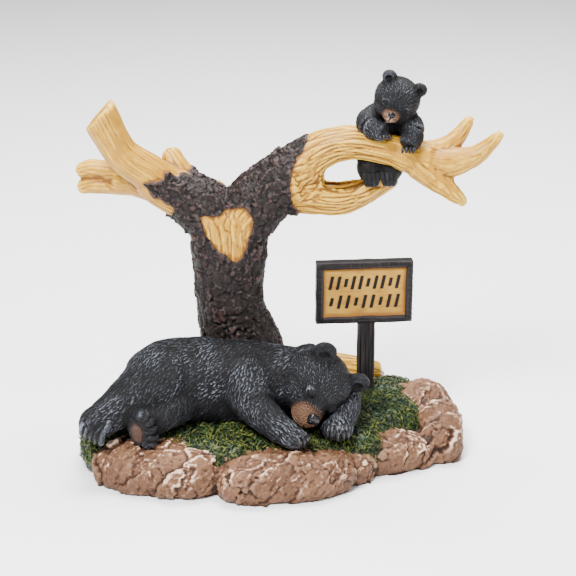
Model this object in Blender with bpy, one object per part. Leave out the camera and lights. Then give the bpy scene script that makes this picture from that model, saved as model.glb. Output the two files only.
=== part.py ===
"""Black bear asleep on a rock base, with a forked tree, a climbing cub and a sign.

A cast and painted figurine in five pieces: base, tree, sleeping_bear, bear_cub and sign.
The free forms are written on a master figure in millimetres, each piece about its own foot,
and are scaled to the piece's own length or height. +Z is up, +X runs along the base to the
right, and the front of the figurine faces -Y. The origin is on the underside.
"""
import math

import bmesh
import bpy
import numpy as np
from mathutils import Matrix, Vector, noise

MM = 0.001

# Base: rim of rocks around a mound of grass
BASE_LENGTH = 196.0 * MM
BASE_DEPTH = 120.0 * MM
BASE_X = -1.5 * MM
BASE_Y = -5.0 * MM
ROCK_HEIGHT = 25.0 * MM
GROUND_HEIGHT = 26.5 * MM
ROCK_RIDGE = 1.5 * MM
ROCK_FACE = 9.0 * MM
GRASS_TUFT = 1.1 * MM
TUFT_SIZE = 5.0 * MM

# Tree
TREE_HEIGHT = 171.0 * MM
TREE_X = -25.0 * MM
TREE_Y = 22.0 * MM
TREE_SINK = 5.0 * MM
BARK_THICKNESS = 0.9 * MM
BARK_RELIEF = 1.5 * MM
WOOD_GROOVE = 0.7 * MM

# Sleeping bear
BEAR_LENGTH = 142.0 * MM
BEAR_X = -35.0 * MM
BEAR_Y = -18.0 * MM
FUR_RELIEF = 0.55 * MM
FUR_LOCK = 5.0 * MM

# Cub, which hangs over the tree's right branch
CUB_HEIGHT = 62.0 * MM
CUB_FUR_RELIEF = 0.35 * MM
CUB_LOCK = 3.0 * MM

# Fallen branch behind the bear's head
LOG_RADIUS = 8.0 * MM

# Sign, which stands at a share of the base's length and depth from its middle
SIGN_X = BASE_X + 0.2286 * BASE_LENGTH
SIGN_Y = BASE_Y + 0.2542 * BASE_DEPTH
SIGN_TURN = math.radians(5.0)
BOARD_WIDTH = 53.5 * MM
BOARD_HEIGHT = 35.6 * MM
BOARD_THICKNESS = 6.4 * MM
BOARD_MIDDLE = 57.6 * MM
BOARD_SHIFT = -1.4 * MM
BOARD_BEVEL = 0.7 * MM
FRAME_WIDTH = 4.0 * MM
PANEL_RECESS = 1.1 * MM
PANEL_TAPER = 0.5 * MM
POST_WIDTH = 9.2 * MM
POST_DEPTH = 7.0 * MM
POST_GROOVE = 0.8 * MM
POST_GROOVE_PLACES = (-0.55, 0.02, 0.5)
SOCKET_DEPTH = 8.0 * MM
STROKE_DEPTH = 0.5 * MM
STROKE_WIDTH = 1.8 * MM
STROKE_HEIGHT = 7.8 * MM
STROKE_GAP = 3.3 * MM
STROKE_LEAN = 0.2
STROKE_ROWS = ((0.5, 10), (-0.5, 9))

# Fit and facets
CLEARANCE = 0.35 * MM
BASE_FACETS = 1750
TREE_FACETS = 2560
BEAR_FACETS = 2800
CUB_FACETS = 1050
BASE_VOXEL = 1.7 * MM
TREE_VOXEL = 1.2 * MM
BEAR_VOXEL = 1.3 * MM
CUB_VOXEL = 0.8 * MM

# Master figure: the size that each list of points below is written at, and its own foot
MASTER_TREE = (171.0, Vector((-25.0, 22.0, 26.5)))
MASTER_BEAR = (142.0, Vector((-35.0, -18.0, 26.5)))
MASTER_CUB = (62.0, Vector((50.0, 15.0, 168.0)))
MASTER_BASE = (196.0, Vector((-1.5, -5.0, 0.0)))

# Tree limbs: x, y, z and radius of each station, from the thick end
TRUNK = [(-24, 22, 18, 27), (-25, 22, 40, 25.5), (-27, 22, 58, 20.8), (-30.4, 21, 69, 18.4),
         (-31.8, 20.5, 81, 17.8), (-32.2, 20, 98, 18.4), (-31.8, 20, 110, 20), (-32, 20, 123, 19)]
TREE_LIMBS = {
    "root_right": [(-15, 18, 49, 7.6), (-3, 15, 37, 8), (11, 12, 26, 7), (21, 10, 19, 4)],
    "root_left": [(-38, 24, 50, 12), (-50, 26, 34, 9), (-62, 28, 22, 5)],
    "root_back": [(-24, 32, 54, 10), (-20, 42, 34, 9), (-16, 50, 20, 5)],
    "left_limb": [(-34, 20, 120, 17), (-43, 20, 132, 15.5), (-54, 19.5, 140, 13.8),
                  (-66, 18.5, 146, 12.2), (-74, 17, 153, 10.8)],
    "branch_a": [(-66, 18.5, 147, 11.5), (-74, 16, 154.5, 10.3), (-82, 14, 160.5, 9.8),
                 (-88.5, 12, 167, 9.2), (-93.3, 10, 176.5, 9.4), (-97.4, 8.5, 186, 10),
                 (-99.6, 7.6, 191, 10.2)],
    "branch_b": [(-62, 21, 141, 9), (-72, 23.5, 144.5, 8.8), (-82, 26.5, 147, 8.6),
                 (-92, 29, 148, 8)],
    "lobe_upper": [(-86, 27.5, 149.5, 7), (-98, 30, 151.8, 5.6), (-108, 31, 152.4, 5),
                   (-114, 31, 150.8, 3.4)],
    "lobe_lower": [(-86, 27.5, 144.5, 6.4), (-98, 30, 143.8, 5.4), (-107.4, 31, 143.2, 5),
                   (-113.4, 31, 141.8, 3.6)],
    "stub_c": [(-52, 24, 143, 8), (-57.5, 27.5, 151, 6.8), (-61.5, 29.5, 157.5, 6.2),
               (-64, 31, 162, 5.2)],
    "stub_d": [(-47, 25, 134, 7), (-41.5, 32, 138.6, 5.8), (-37, 37.5, 140.2, 5.2)],
    "right_limb": [(-30, 20, 121, 17.5), (-22, 20, 131, 16.5), (-13, 20, 140.5, 15.5),
                   (-4, 19.2, 147.5, 15.5), (5, 18.5, 151, 16.5)],
    "upper_branch": [(1, 18.5, 153, 14), (8, 18, 159, 12.6), (13, 18, 163.6, 11.2),
                     (18.5, 17.5, 167.2, 10.4), (25, 17, 169.8, 9.8), (33, 16, 171.2, 9.4),
                     (41, 16, 170.6, 8.8), (48.6, 15, 169, 8.6), (55.5, 15, 167.2, 8.6),
                     (62, 14, 165, 9), (69, 14, 163, 9.4), (75, 13, 162, 9.4)],
    "lower_branch": [(0, 18.5, 146, 14), (8, 18.5, 143.6, 12.4), (18, 19.5, 141, 11.2),
                     (28, 20.5, 140.2, 10.4), (36, 21.5, 141.6, 9.2), (44, 22.5, 144.6, 7.8),
                     (51, 23.5, 147.6, 6.6), (57, 24.5, 150, 5.4)],
    "prong_1": [(73, 15, 164.5, 7.8), (80, 17, 166, 6.8), (86.2, 19, 169.2, 5.7),
                (91, 20.8, 174, 4.6), (94.8, 22.2, 179.2, 3.5), (97, 23, 183, 2.5)],
    "prong_2": [(72, 13, 161, 8.6), (83, 12, 160.8, 8.2), (91, 11, 162.4, 7.2),
                (98.5, 10, 165.6, 5.7), (105, 9, 170.8, 4.4), (109.3, 8, 175.8, 3.2),
                (111.4, 8, 178.6, 2.4)],
    "prong_3": [(69, 12.5, 160.5, 8.6), (76, 10.5, 155.2, 7.8), (82, 8.5, 150, 6.2),
                (87, 6.5, 146, 4.9), (91, 5, 143, 3.5), (93.4, 4.4, 140.2, 2.2)],
}
TRUNK_DEPTH = 0.86
BREAK_POINT = (-98.6, 8, 188.6)
BREAK_NORMAL = (-0.75, 0.0, 0.66)
TROUGH_FROM = (12.0, 54.0)
TROUGH_HALF_WIDTH = 7.6
TROUGH_DEPTH = 6.0
TROUGH_TOP = 158.0
HEART_CENTRE = (-31.6, 124.2)
HEART_SIZE = (14.6, 15.6)
HEART_TILT = math.radians(18.0)
HEART_BACK = 20.0
# Where the bark ends on the master figure: x at the right and left, lines as x, z and slope
BARK_RIGHT_END = 3.0
BARK_LEFT_END = -77.0
BARE_ABOVE = (-66.0, 153.5, 0.1, -46.0)
BARE_BELOW = (-76.0, 146.0, -0.7, -61.0)
BARE_STUBS = (30.0, 133.0)
BARK_PLATE = 6.5
WOOD_GRAIN = 3.2
LOOP_CENTRE = (30.0, 152.0)
LIMB_GRAIN = (-0.5, 0.0, 0.86)

# Sleeping bear: body, neck and legs as limbs with their own width across
BEAR_LIMBS = {
    "body": [(-80, -16, 42, 14), (-73, -15, 45.5, 19.5), (-63, -14, 47.2, 22.8),
             (-50, -13, 47.2, 23.6), (-36, -13, 46.5, 23.2), (-22, -13, 46, 23),
             (-10, -14, 46.5, 21), (2, -15, 47.5, 19), (12, -16, 49, 17)],
    "thigh": [(-48, -11, 50, 12), (-64, -16.5, 51.5, 18.4), (-72, -22, 47, 17.5),
              (-82, -28, 42.5, 14), (-91, -33, 38.5, 10.6), (-98, -36.5, 35, 9)],
    "foot": [(-96, -36, 35, 9), (-101.5, -38.5, 32.5, 8.6), (-102, -40, 29.5, 7)],
    "lower_leg": [(-46, -18, 40, 6), (-56, -25, 39.5, 9.6), (-66, -33, 36.5, 9),
                  (-72, -38, 34.5, 8)],
    "shoulder": [(-24, -12, 53, 11), (-22, -19, 50.5, 16.2), (-20, -28, 46, 13.5),
                 (-17, -35, 42, 10.5)],
    "foreleg": [(-20, -33.5, 42.5, 9.4), (-11, -39.5, 37, 8.4), (-5, -43.6, 32.8, 7.2),
                (1, -45.8, 30, 6.4)],
    "far_foreleg": [(31, -12, 38, 8), (32, -22, 36, 7), (30, -30, 33.5, 6.8),
                    (26.5, -37, 30.5, 6.6)],
}
BODY_DEPTH = 0.8
# Ball shapes: centre, radii and a turn about Y in degrees
BEAR_BALLS = {
    "sole": ((-76, -41.5, 31.8), (7.8, 6.6, 10.8), -10),
    "paw": ((2.0, -46.6, 29.0), (8.0, 7.2, 5.6), 8),
    "far_paw": ((26, -37.4, 29.8), (8.6, 7, 6), 0),
    "nape": ((11, -10, 61), (7, 6, 5.4), 0),
}
BEAR_HEAD = (15.0, -20.5, 48.6)
BEAR_FORWARD = Vector((-0.10, -0.892, -0.442))
BEAR_UP = Vector((0.794, -0.30, 0.52))
# In the head's own frame: across, up, forward; then the radii along the same three
HEAD_SHAPES = [
    ((0, 0, 0), (19.6, 17.8, 17.6)),
    ((0, -4.6, 7), (17.4, 12.4, 13)),
    ((0, 3.6, 8.0), (14.0, 9.0, 10.6)),
    ((0, -3.4, 18.0), (8.8, 8.4, 9.6)),
    ((0, -6.6, 20), (6.0, 4.6, 6.4)),
    ((0, 1.4, 14), (6.6, 5.8, 8.6)),
    ((0, 1.7, 26.2), (4.2, 3.2, 3.0)),
    ((-14.4, 16.6, -3.8), (7.2, 7.4, 4.0)),
    ((14.2, 16.6, -3.8), (7.2, 7.4, 4.0)),
]

# Cub
CUB_LIMBS = {
    "body": [(49.2, 21, 152, 7), (49.2, 24.5, 160, 12.6), (50.2, 26.5, 170, 13.2),
             (52, 25.5, 180, 11.2), (55, 20, 190, 8.6)],
    "arm_left": [(50, 23, 184.5, 7), (43.6, 19.6, 182.4, 7), (42.6, 11.6, 181, 5.8),
                 (49.6, 6, 179, 5)],
    "arm_right": [(57.5, 22, 184.5, 7), (63.4, 16, 182, 6.8), (65.6, 8.6, 177.6, 5.8),
                  (62.8, 4.4, 172.8, 5.2)],
    "leg_left": [(45, 24, 162, 6.5), (43.6, 18, 156.4, 6.8), (44.2, 13.8, 152.4, 4.8)],
    "leg_right": [(54.6, 24, 162, 6.5), (54.6, 18, 156.6, 6.8), (53.6, 13.8, 152.6, 4.8)],
}
CUB_HEAD = (56.9, 14.0, 195.5)
CUB_FORWARD = Vector((-0.22, -0.929, -0.30))
CUB_UP = Vector((0.334, -0.361, 0.872))
CUB_HEAD_SHAPES = [
    ((0, 0, 0), (12.4, 11.6, 11.4)),
    ((0, -3.6, 3.5), (10.8, 7.6, 8)),
    ((0, 2.2, 5.2), (9.4, 5.4, 6.6)),
    ((0, -2.4, 10.0), (5.0, 4.6, 5.6)),
    ((0, -4.8, 10.6), (3.2, 2.5, 4.0)),
    ((0, 0.3, 14.6), (2.7, 2.3, 2.0)),
    ((-8.8, 9.7, -1.5), (4.9, 5.1, 2.8)),
    ((8.8, 9.7, -1.5), (4.9, 5.1, 2.8)),
]

# Rocks: centre and half sizes as shares of the base's half length and half depth, the turn
# in degrees and the height as a share of ROCK_HEIGHT
ROCKS = [
    (-0.70, -0.56, 0.39, 0.38, -14, 1.08), (-0.90, -0.10, 0.15, 0.38, -24, 0.8),
    (0.0, -0.74, 0.385, 0.31, 12, 0.88), (0.60, -0.22, 0.25, 0.25, 24, 0.70),
    (0.86, 0.14, 0.14, 0.40, 0, 0.96), (0.76, 0.56, 0.20, 0.26, 30, 1.08),
    (0.44, 0.78, 0.30, 0.22, 8, 1.0), (0.0, 0.83, 0.28, 0.20, -4, 0.94),
    (-0.42, 0.76, 0.28, 0.24, -10, 1.02), (-0.78, 0.50, 0.24, 0.30, -38, 0.94),
]
ROCK_POWER = 2.8
ROCK_LOW = 0.36
# Grass: middle and half sizes as the same shares, and the height as one of GROUND_HEIGHT
GRASS = [(-0.20, 0.02, 0.74, 0.79, 1.0), (0.42, 0.24, 0.36, 0.44, 1.0),
         (-0.28, -0.70, 0.085, 0.13, 0.9), (-0.98, -0.14, 0.135, 0.34, 0.94),
         (-0.90, 0.10, 0.14, 0.26, 1.12), (0.36, -0.36, 0.16, 0.17, 0.88),
         (0.62, 0.62, 0.16, 0.20, 1.0)]
GRASS_POWER = 2.9
GRASS_LOW = 0.4
GRASS_INSET = 0.02
# Fallen branch: x and y of the master base, the height over the ground and the radius
FALLEN_BRANCH = [(-8, 43, 6.5, 9), (8, 45, 6.0, 8.6), (24, 46.5, 4.5, 7.8), (40, 48, 1.9, 7),
                 (52, 49.5, -0.5, 5.6)]


def clear_scene():
    """Remove every object that the file starts with."""
    for obj in list(bpy.data.objects):
        bpy.data.objects.remove(obj, do_unlink=True)


def paint(name, colour, roughness):
    """One Principled material."""
    material = bpy.data.materials.new(name)
    material.use_nodes = True
    shader = material.node_tree.nodes["Principled BSDF"]
    shader.inputs["Base Color"].default_value = (*colour, 1.0)
    shader.inputs["Roughness"].default_value = roughness
    shader.inputs["Metallic"].default_value = 0.0
    return material


def placed(master, size, foot):
    """A function from the master figure's points to the scaled piece's own place."""
    master_size, master_foot = master
    scale = size / master_size

    def place(point):
        return foot + (Vector(point[:3]) - master_foot) * scale

    return place, scale


def smooth_stations(stations, steps):
    """Catmull-Rom curve through stations of any number of values each."""
    points = np.array(stations, dtype=float)
    first = 2 * points[0] - points[1]
    last = 2 * points[-1] - points[-2]
    padded = np.vstack([first, points, last])
    curve = []
    for i in range(len(points) - 1):
        a, b, c, d = padded[i:i + 4]
        for k in range(steps):
            t = k / steps
            curve.append(0.5 * (2 * b + (c - a) * t + (2 * a - 5 * b + 4 * c - d) * t * t
                                + (3 * b - a - 3 * c + d) * t ** 3))
    curve.append(points[-1])
    return np.array(curve)


def add_limb(bm, stations, place, scale, depth=1.0, sides=20, steps=5):
    """Loft a closed limb with round ends; depth squeezes its section along Y."""
    curve = smooth_stations(stations, steps)
    centres = [place(row) for row in curve]
    radii = curve[:, 3] * scale
    rings = []
    for i, centre in enumerate(centres):
        along = (centres[min(i + 1, len(centres) - 1)] - centres[max(i - 1, 0)]).normalized()
        reference = Vector((0, 1, 0)) if abs(along.y) < 0.8 else Vector((0, 0, 1))
        side = along.cross(reference).normalized()
        other = side.cross(along).normalized()
        ring = []
        for k in range(sides):
            angle = 2 * math.pi * k / sides
            offset = side * math.cos(angle) + other * math.sin(angle) * depth
            ring.append(bm.verts.new(centre + offset * radii[i]))
        rings.append(ring)
    for low, high in zip(rings, rings[1:]):
        for k in range(sides):
            n = (k + 1) % sides
            bm.faces.new((low[k], low[n], high[n], high[k]))
    for ring, centre, inner in ((rings[0], centres[0], centres[1]),
                                (rings[-1], centres[-1], centres[-2])):
        tip = bm.verts.new(centre + (centre - inner).normalized() * (radii.min() * 0.5))
        for k in range(sides):
            bm.faces.new((ring[k], ring[(k + 1) % sides], tip))


def add_ball(bm, centre, axes, radii, power=2.0):
    """Add a ball with its own axes and radii; power over 2 makes it boxier."""
    made = bmesh.ops.create_uvsphere(bm, u_segments=24, v_segments=14, radius=1.0)
    turn = Matrix(axes).transposed()
    for vert in made["verts"]:
        x, y, z = vert.co
        length = (abs(x) ** power + abs(y) ** power + abs(z) ** power) ** (1.0 / power)
        shaped = Vector((x * radii[0], y * radii[1], z * radii[2])) / max(length, 1e-9)
        vert.co = Vector(centre) + turn @ shaped


def turned_axes(degrees, axis):
    """Rows of a rotation about one world axis."""
    matrix = Matrix.Rotation(math.radians(degrees), 3, axis).transposed()
    return [tuple(row) for row in matrix]


def evaluated_mesh(obj):
    """A copy of the object's mesh with its modifiers applied."""
    depsgraph = bpy.context.evaluated_depsgraph_get()
    return bpy.data.meshes.new_from_object(obj.evaluated_get(depsgraph), depsgraph=depsgraph)


def new_object(name, mesh):
    """Link a new object that holds the mesh."""
    obj = bpy.data.objects.new(name, mesh)
    bpy.context.scene.collection.objects.link(obj)
    return obj


def blended(bm, voxel, smoothing):
    """One closed skin over the overlapping shells, softened where they meet."""
    bmesh.ops.recalc_face_normals(bm, faces=bm.faces)
    mesh = bpy.data.meshes.new("shells")
    bm.to_mesh(mesh)
    bm.free()
    obj = new_object("shells", mesh)
    skin = obj.modifiers.new("Skin", "REMESH")
    skin.mode = "VOXEL"
    skin.voxel_size = voxel
    soft = obj.modifiers.new("Soft", "SMOOTH")
    soft.factor = 0.5
    soft.iterations = smoothing
    result = evaluated_mesh(obj)
    bpy.data.objects.remove(obj, do_unlink=True)
    return result


def carved(mesh, depth_at):
    """Move every vertex along its normal by depth_at(points)."""
    count = len(mesh.vertices)
    points = np.empty(count * 3)
    mesh.vertices.foreach_get("co", points)
    normals = np.empty(count * 3)
    mesh.vertices.foreach_get("normal", normals)
    points = points.reshape(-1, 3)
    moved = points + normals.reshape(-1, 3) * depth_at(points)[:, None]
    mesh.vertices.foreach_set("co", moved.ravel())
    mesh.update()
    return mesh


def faceted(mesh, facets):
    """Collapse the skin to about the given number of triangles."""
    obj = new_object("skin", mesh)
    mesh.calc_loop_triangles()
    reduce = obj.modifiers.new("Facets", "DECIMATE")
    reduce.ratio = min(1.0, facets / len(mesh.loop_triangles))
    reduce.use_collapse_triangulate = True
    result = evaluated_mesh(obj)
    bpy.data.objects.remove(obj, do_unlink=True)
    return largest_body(result)


def noise_at(points, size, seed=0.0):
    """Smooth noise from -1 to 1 with features of about the given size."""
    shift = Vector((seed * 17.3, seed * 5.1, seed * 9.7))
    return np.array([noise.noise(Vector(p) / size + shift) for p in points])


def ridges_at(points, size, seed=0.0):
    """Sharp-crested noise from 0 in the furrows to 1 on the ridges."""
    return 1.0 - np.minimum(1.0, np.abs(noise_at(points, size, seed)) * 2.4)


def cracks_at(points, size, seed=0.0):
    """Distance to the nearest border between cells, from 0 at a crack to about 1."""
    shift = Vector((seed * 3.7, seed * 8.9, seed * 1.3))
    gaps = []
    for p in points:
        distances = noise.voronoi(Vector(p) / size + shift)[0]
        gaps.append(distances[1] - distances[0])
    return np.minimum(1.0, np.array(gaps) * 2.2)


def smooth_step(low, high, values):
    """0 below low, 1 above high, with a soft ramp between."""
    t = np.clip((values - low) / (high - low), 0.0, 1.0)
    return t * t * (3 - 2 * t)


def heart_outline(count=48):
    """Heart-shaped patch in the plane of the trunk's front, as x and z of the master figure."""
    t = np.linspace(0, 2 * math.pi, count, endpoint=False)
    across = np.sin(t) ** 3
    up = (13 * np.cos(t) - 5 * np.cos(2 * t) - 2 * np.cos(3 * t) - np.cos(4 * t)) / 14.5
    x = across * HEART_SIZE[0]
    z = up * HEART_SIZE[1]
    cos, sin = math.cos(HEART_TILT), math.sin(HEART_TILT)
    return np.column_stack([HEART_CENTRE[0] + x * cos - z * sin,
                            HEART_CENTRE[1] + x * sin + z * cos])


def inside_outline(x, z, outline):
    """Even-odd test of many points against one closed outline."""
    inside = np.zeros(len(x), dtype=bool)
    for (x1, z1), (x2, z2) in zip(outline, np.roll(outline, -1, axis=0)):
        crosses = (z1 > z) != (z2 > z)
        with np.errstate(divide="ignore", invalid="ignore"):
            at = x1 + (z - z1) * (x2 - x1) / (z2 - z1)
        inside ^= crosses & (x < at)
    return inside


def bark_cover(master_points):
    """1 where the tree has bark, 0 on bare wood."""
    x, y, z = master_points.T
    jag = noise_at(master_points, 5.0, 3.0) * 2.2
    right_end = x > BARK_RIGHT_END + jag
    left_end = x < BARK_LEFT_END + jag
    line_x, line_z, slope, until = BARE_ABOVE
    above = (z > line_z + slope * (x - line_x) + jag) & (x < until)
    line_x, line_z, slope, until = BARE_BELOW
    below = (z < line_z + slope * (x - line_x) + jag * 0.3) & (x < until)
    stub_behind = (y > BARE_STUBS[0]) & (z > BARE_STUBS[1])
    heart = inside_outline(x + jag * 0.3, z, heart_outline()) & (y < HEART_BACK)
    bare = right_end | left_end | above | below | stub_behind | heart
    return 1.0 - bare.astype(float)


def make_tree():
    """Trunk, limbs, broken branches, loop and prongs, with bark and grooved bare wood."""
    foot = Vector((TREE_X, TREE_Y, GROUND_HEIGHT))
    place, scale = placed(MASTER_TREE, TREE_HEIGHT, foot)
    bm = bmesh.new()
    add_limb(bm, TRUNK, place, scale, depth=TRUNK_DEPTH, sides=28)
    for name, stations in TREE_LIMBS.items():
        add_limb(bm, stations, place, scale)
    mesh = blended(bm, TREE_VOXEL, 7)
    cut_off(mesh, (0.0, 0.0, GROUND_HEIGHT - TREE_SINK), (0.0, 0.0, -1.0))
    cut_off(mesh, place(BREAK_POINT), BREAK_NORMAL)

    def depth_at(points):
        master = (points - np.array(foot)) / scale + np.array(MASTER_TREE[1])
        bark = bark_cover(master)
        stretched = master * np.array([1.0, 1.0, 0.45])
        plates = cracks_at(stretched, BARK_PLATE, 1.0) - 0.25
        grain = ridges_at(grain_space(master), WOOD_GRAIN, 2.0) - 0.6
        return np.where(bark > 0.5, BARK_THICKNESS + plates * BARK_RELIEF, grain * WOOD_GROOVE)

    carved(mesh, depth_at)
    hollow_trough(mesh, place, scale, foot)
    return faceted(mesh, TREE_FACETS)


def grain_space(master):
    """Points with the wood's own direction pressed short, so that noise runs along it."""
    x, y, z = master.T
    centre_x, centre_z = LOOP_CENTRE
    angle = np.arctan2(z - centre_z, x - centre_x)
    radius = np.hypot(x - centre_x, z - centre_z)
    looped = np.column_stack([radius, y, angle * 5.0])
    along = np.array(LIMB_GRAIN)
    run = master @ along
    straight = master - np.outer(run, along) * 0.85
    return np.where((x < -40.0)[:, None], straight, looped)


def largest_body(mesh):
    """Drop every stray crumb and keep the one body with the most vertices."""
    bm = bmesh.new()
    bm.from_mesh(mesh)
    waiting = set(bm.verts)
    bodies = []
    while waiting:
        stack = [waiting.pop()]
        body = []
        while stack:
            vert = stack.pop()
            body.append(vert)
            for edge in vert.link_edges:
                other = edge.other_vert(vert)
                if other in waiting:
                    waiting.remove(other)
                    stack.append(other)
        bodies.append(body)
    bodies.sort(key=len)
    crumbs = [vert for body in bodies[:-1] for vert in body]
    bmesh.ops.delete(bm, geom=crumbs, context="VERTS")
    bm.to_mesh(mesh)
    bm.free()
    return mesh


def cut_off(mesh, point, normal):
    """Cut the mesh off flat beyond a plane and close the opening."""
    bm = bmesh.new()
    bm.from_mesh(mesh)
    made = bmesh.ops.bisect_plane(bm, geom=bm.verts[:] + bm.edges[:] + bm.faces[:], plane_co=point,
                                  plane_no=Vector(normal).normalized(), clear_outer=True, dist=1e-7)
    edges = [item for item in made["geom_cut"] if isinstance(item, bmesh.types.BMEdge)]
    bmesh.ops.triangle_fill(bm, use_beauty=True, edges=edges)
    bmesh.ops.recalc_face_normals(bm, faces=bm.faces)
    bm.to_mesh(mesh)
    bm.free()


def hollow_trough(mesh, place, scale, foot):
    """Lower the top of the lower branch onto a trough between two rims."""
    curve = smooth_stations(TREE_LIMBS["lower_branch"], 6)
    low, high = TROUGH_FROM
    for vert in mesh.vertices:
        x, y, z = (vert.co - foot) / scale + MASTER_TREE[1]
        if not low < x < high or z > TROUGH_TOP:
            continue
        _, cy, cz, radius = curve[np.argmin(np.abs(curve[:, 0] - x))]
        across = (y - cy) / (TROUGH_HALF_WIDTH * radius / 10.4)
        if z < cz or abs(across) > 1.0:
            continue
        fade = min(1.0, (x - low) / 8.0, (high - x) / 8.0)
        rim = cz + radius * 0.45
        floor = rim - TROUGH_DEPTH * fade * (1.0 - across * across)
        if z > floor and z < cz + radius * 1.25:
            vert.co.z += (floor - z) * scale * fade
    mesh.update()


def head_balls(bm, shapes, centre, forward, up, place, scale):
    """Skull, cheeks, muzzle, nose and ears in the head's own frame."""
    forward = forward.normalized()
    up = (up - forward * up.dot(forward)).normalized()
    across = up.cross(forward).normalized() * -1.0
    axes = [tuple(across), tuple(up), tuple(forward)]
    for (a, u, f), radii in shapes:
        at = place(Vector(centre) + across * a + up * u + forward * f)
        add_ball(bm, at, axes, [r * scale for r in radii])


def make_bear():
    """Sleeping bear, on its side with its head on its paws."""
    foot = Vector((BEAR_X, BEAR_Y, GROUND_HEIGHT))
    place, scale = placed(MASTER_BEAR, BEAR_LENGTH, foot)
    bm = bmesh.new()
    for name, stations in BEAR_LIMBS.items():
        add_limb(bm, stations, place, scale, depth=BODY_DEPTH if name == "body" else 1.0)
    for centre, radii, turn in BEAR_BALLS.values():
        add_ball(bm, place(centre), turned_axes(turn, "Y"), [r * scale for r in radii])
    head_balls(bm, HEAD_SHAPES, BEAR_HEAD, BEAR_FORWARD, BEAR_UP, place, scale)
    mesh = blended(bm, BEAR_VOXEL, 5)

    def depth_at(points):
        pressed = points * np.array([1.0, 1.0, 0.5])
        return (ridges_at(pressed, FUR_LOCK, 4.0) - 0.55) * FUR_RELIEF

    carved(mesh, depth_at)
    return faceted(mesh, BEAR_FACETS)


def make_cub():
    """Cub with its arms over the branch and its feet on the lower one."""
    tree_foot = Vector((TREE_X, TREE_Y, GROUND_HEIGHT))
    on_tree, _ = placed(MASTER_TREE, TREE_HEIGHT, tree_foot)
    foot = on_tree(MASTER_CUB[1])
    place, scale = placed(MASTER_CUB, CUB_HEIGHT, foot)
    bm = bmesh.new()
    for stations in CUB_LIMBS.values():
        add_limb(bm, stations, place, scale, sides=16)
    head_balls(bm, CUB_HEAD_SHAPES, CUB_HEAD, CUB_FORWARD, CUB_UP, place, scale)
    mesh = blended(bm, CUB_VOXEL, 4)

    def depth_at(points):
        pressed = points * np.array([1.0, 1.0, 0.6])
        return (ridges_at(pressed, CUB_LOCK, 5.0) - 0.55) * CUB_FUR_RELIEF

    carved(mesh, depth_at)
    return faceted(mesh, CUB_FACETS)


def add_mound(bm, middle, shares, top, low, turn, power):
    """Boxy ball at a share of the base, its centre at a low share of its top's height."""
    x, y, a, b = shares
    half_x, half_y = BASE_LENGTH / 2, BASE_DEPTH / 2
    centre = middle + Vector((x * half_x, y * half_y, top * low))
    radii = (a * half_x, b * half_y, top * (1.0 - low))
    add_ball(bm, centre, turned_axes(turn, "Z"), radii, power=power)


def make_base():
    """Rocks around the grass, with the fallen branch, cut flat below."""
    middle = Vector((BASE_X, BASE_Y, 0.0))
    bm = bmesh.new()
    for *shares, turn, height in ROCKS:
        add_mound(bm, middle, shares, height * ROCK_HEIGHT, ROCK_LOW, turn, ROCK_POWER)
    for *shares, height in GRASS:
        add_mound(bm, middle, shares, height * GROUND_HEIGHT, GRASS_LOW, 0, GRASS_POWER)
    place, _ = placed(MASTER_BASE, BASE_LENGTH, Vector((BASE_X, BASE_Y, GROUND_HEIGHT)))
    add_limb(bm, FALLEN_BRANCH, place, LOG_RADIUS / FALLEN_BRANCH[2][3], sides=16)
    mesh = blended(bm, BASE_VOXEL, 3)

    def depth_at(points):
        share = (points - np.array(middle)) / np.array([BASE_LENGTH / 2, BASE_DEPTH / 2, 1.0])
        away = np.full(len(points), np.inf)
        for x, y, a, b, _ in GRASS:
            mound = np.abs((share[:, 0] - x) / (a - GRASS_INSET)) ** GRASS_POWER
            mound += np.abs((share[:, 1] - y) / (b - GRASS_INSET)) ** GRASS_POWER
            away = np.minimum(away, mound)
        grass = 1.0 - smooth_step(0.85, 1.05, away)
        slanted = points @ np.array([[1.0, 0, 0.5], [0, 1.0, 0.3], [0, 0, 1.2]]).T
        rock = (ridges_at(slanted, ROCK_FACE, 6.0) - 0.55) * ROCK_RIDGE
        tufts = (cracks_at(points, TUFT_SIZE, 7.0) - 0.5) * GRASS_TUFT
        return grass * tufts + (1.0 - grass) * rock

    carved(mesh, depth_at)
    mesh = faceted(mesh, BASE_FACETS)
    cut_off(mesh, (0.0, 0.0, 0.0), (0.0, 0.0, -1.0))
    return mesh


def box(bm, low, high):
    """Axis-aligned box between two corners."""
    made = bmesh.ops.create_cube(bm, size=1.0)
    for vert in made["verts"]:
        for i in range(3):
            vert.co[i] = low[i] if vert.co[i] < 0 else high[i]
    return made["verts"]


def post_profile():
    """Section of the post: a rectangle with V grooves down its front and back."""
    half_x, half_y = POST_WIDTH / 2, POST_DEPTH / 2
    front = [(-half_x, -half_y)]
    for share in POST_GROOVE_PLACES:
        x = share * half_x
        front += [(x - POST_GROOVE * 0.7, -half_y), (x, -half_y + POST_GROOVE),
                  (x + POST_GROOVE * 0.7, -half_y)]
    front.append((half_x, -half_y))
    back = [(-x, -y) for x, y in front]
    return front + back


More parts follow.
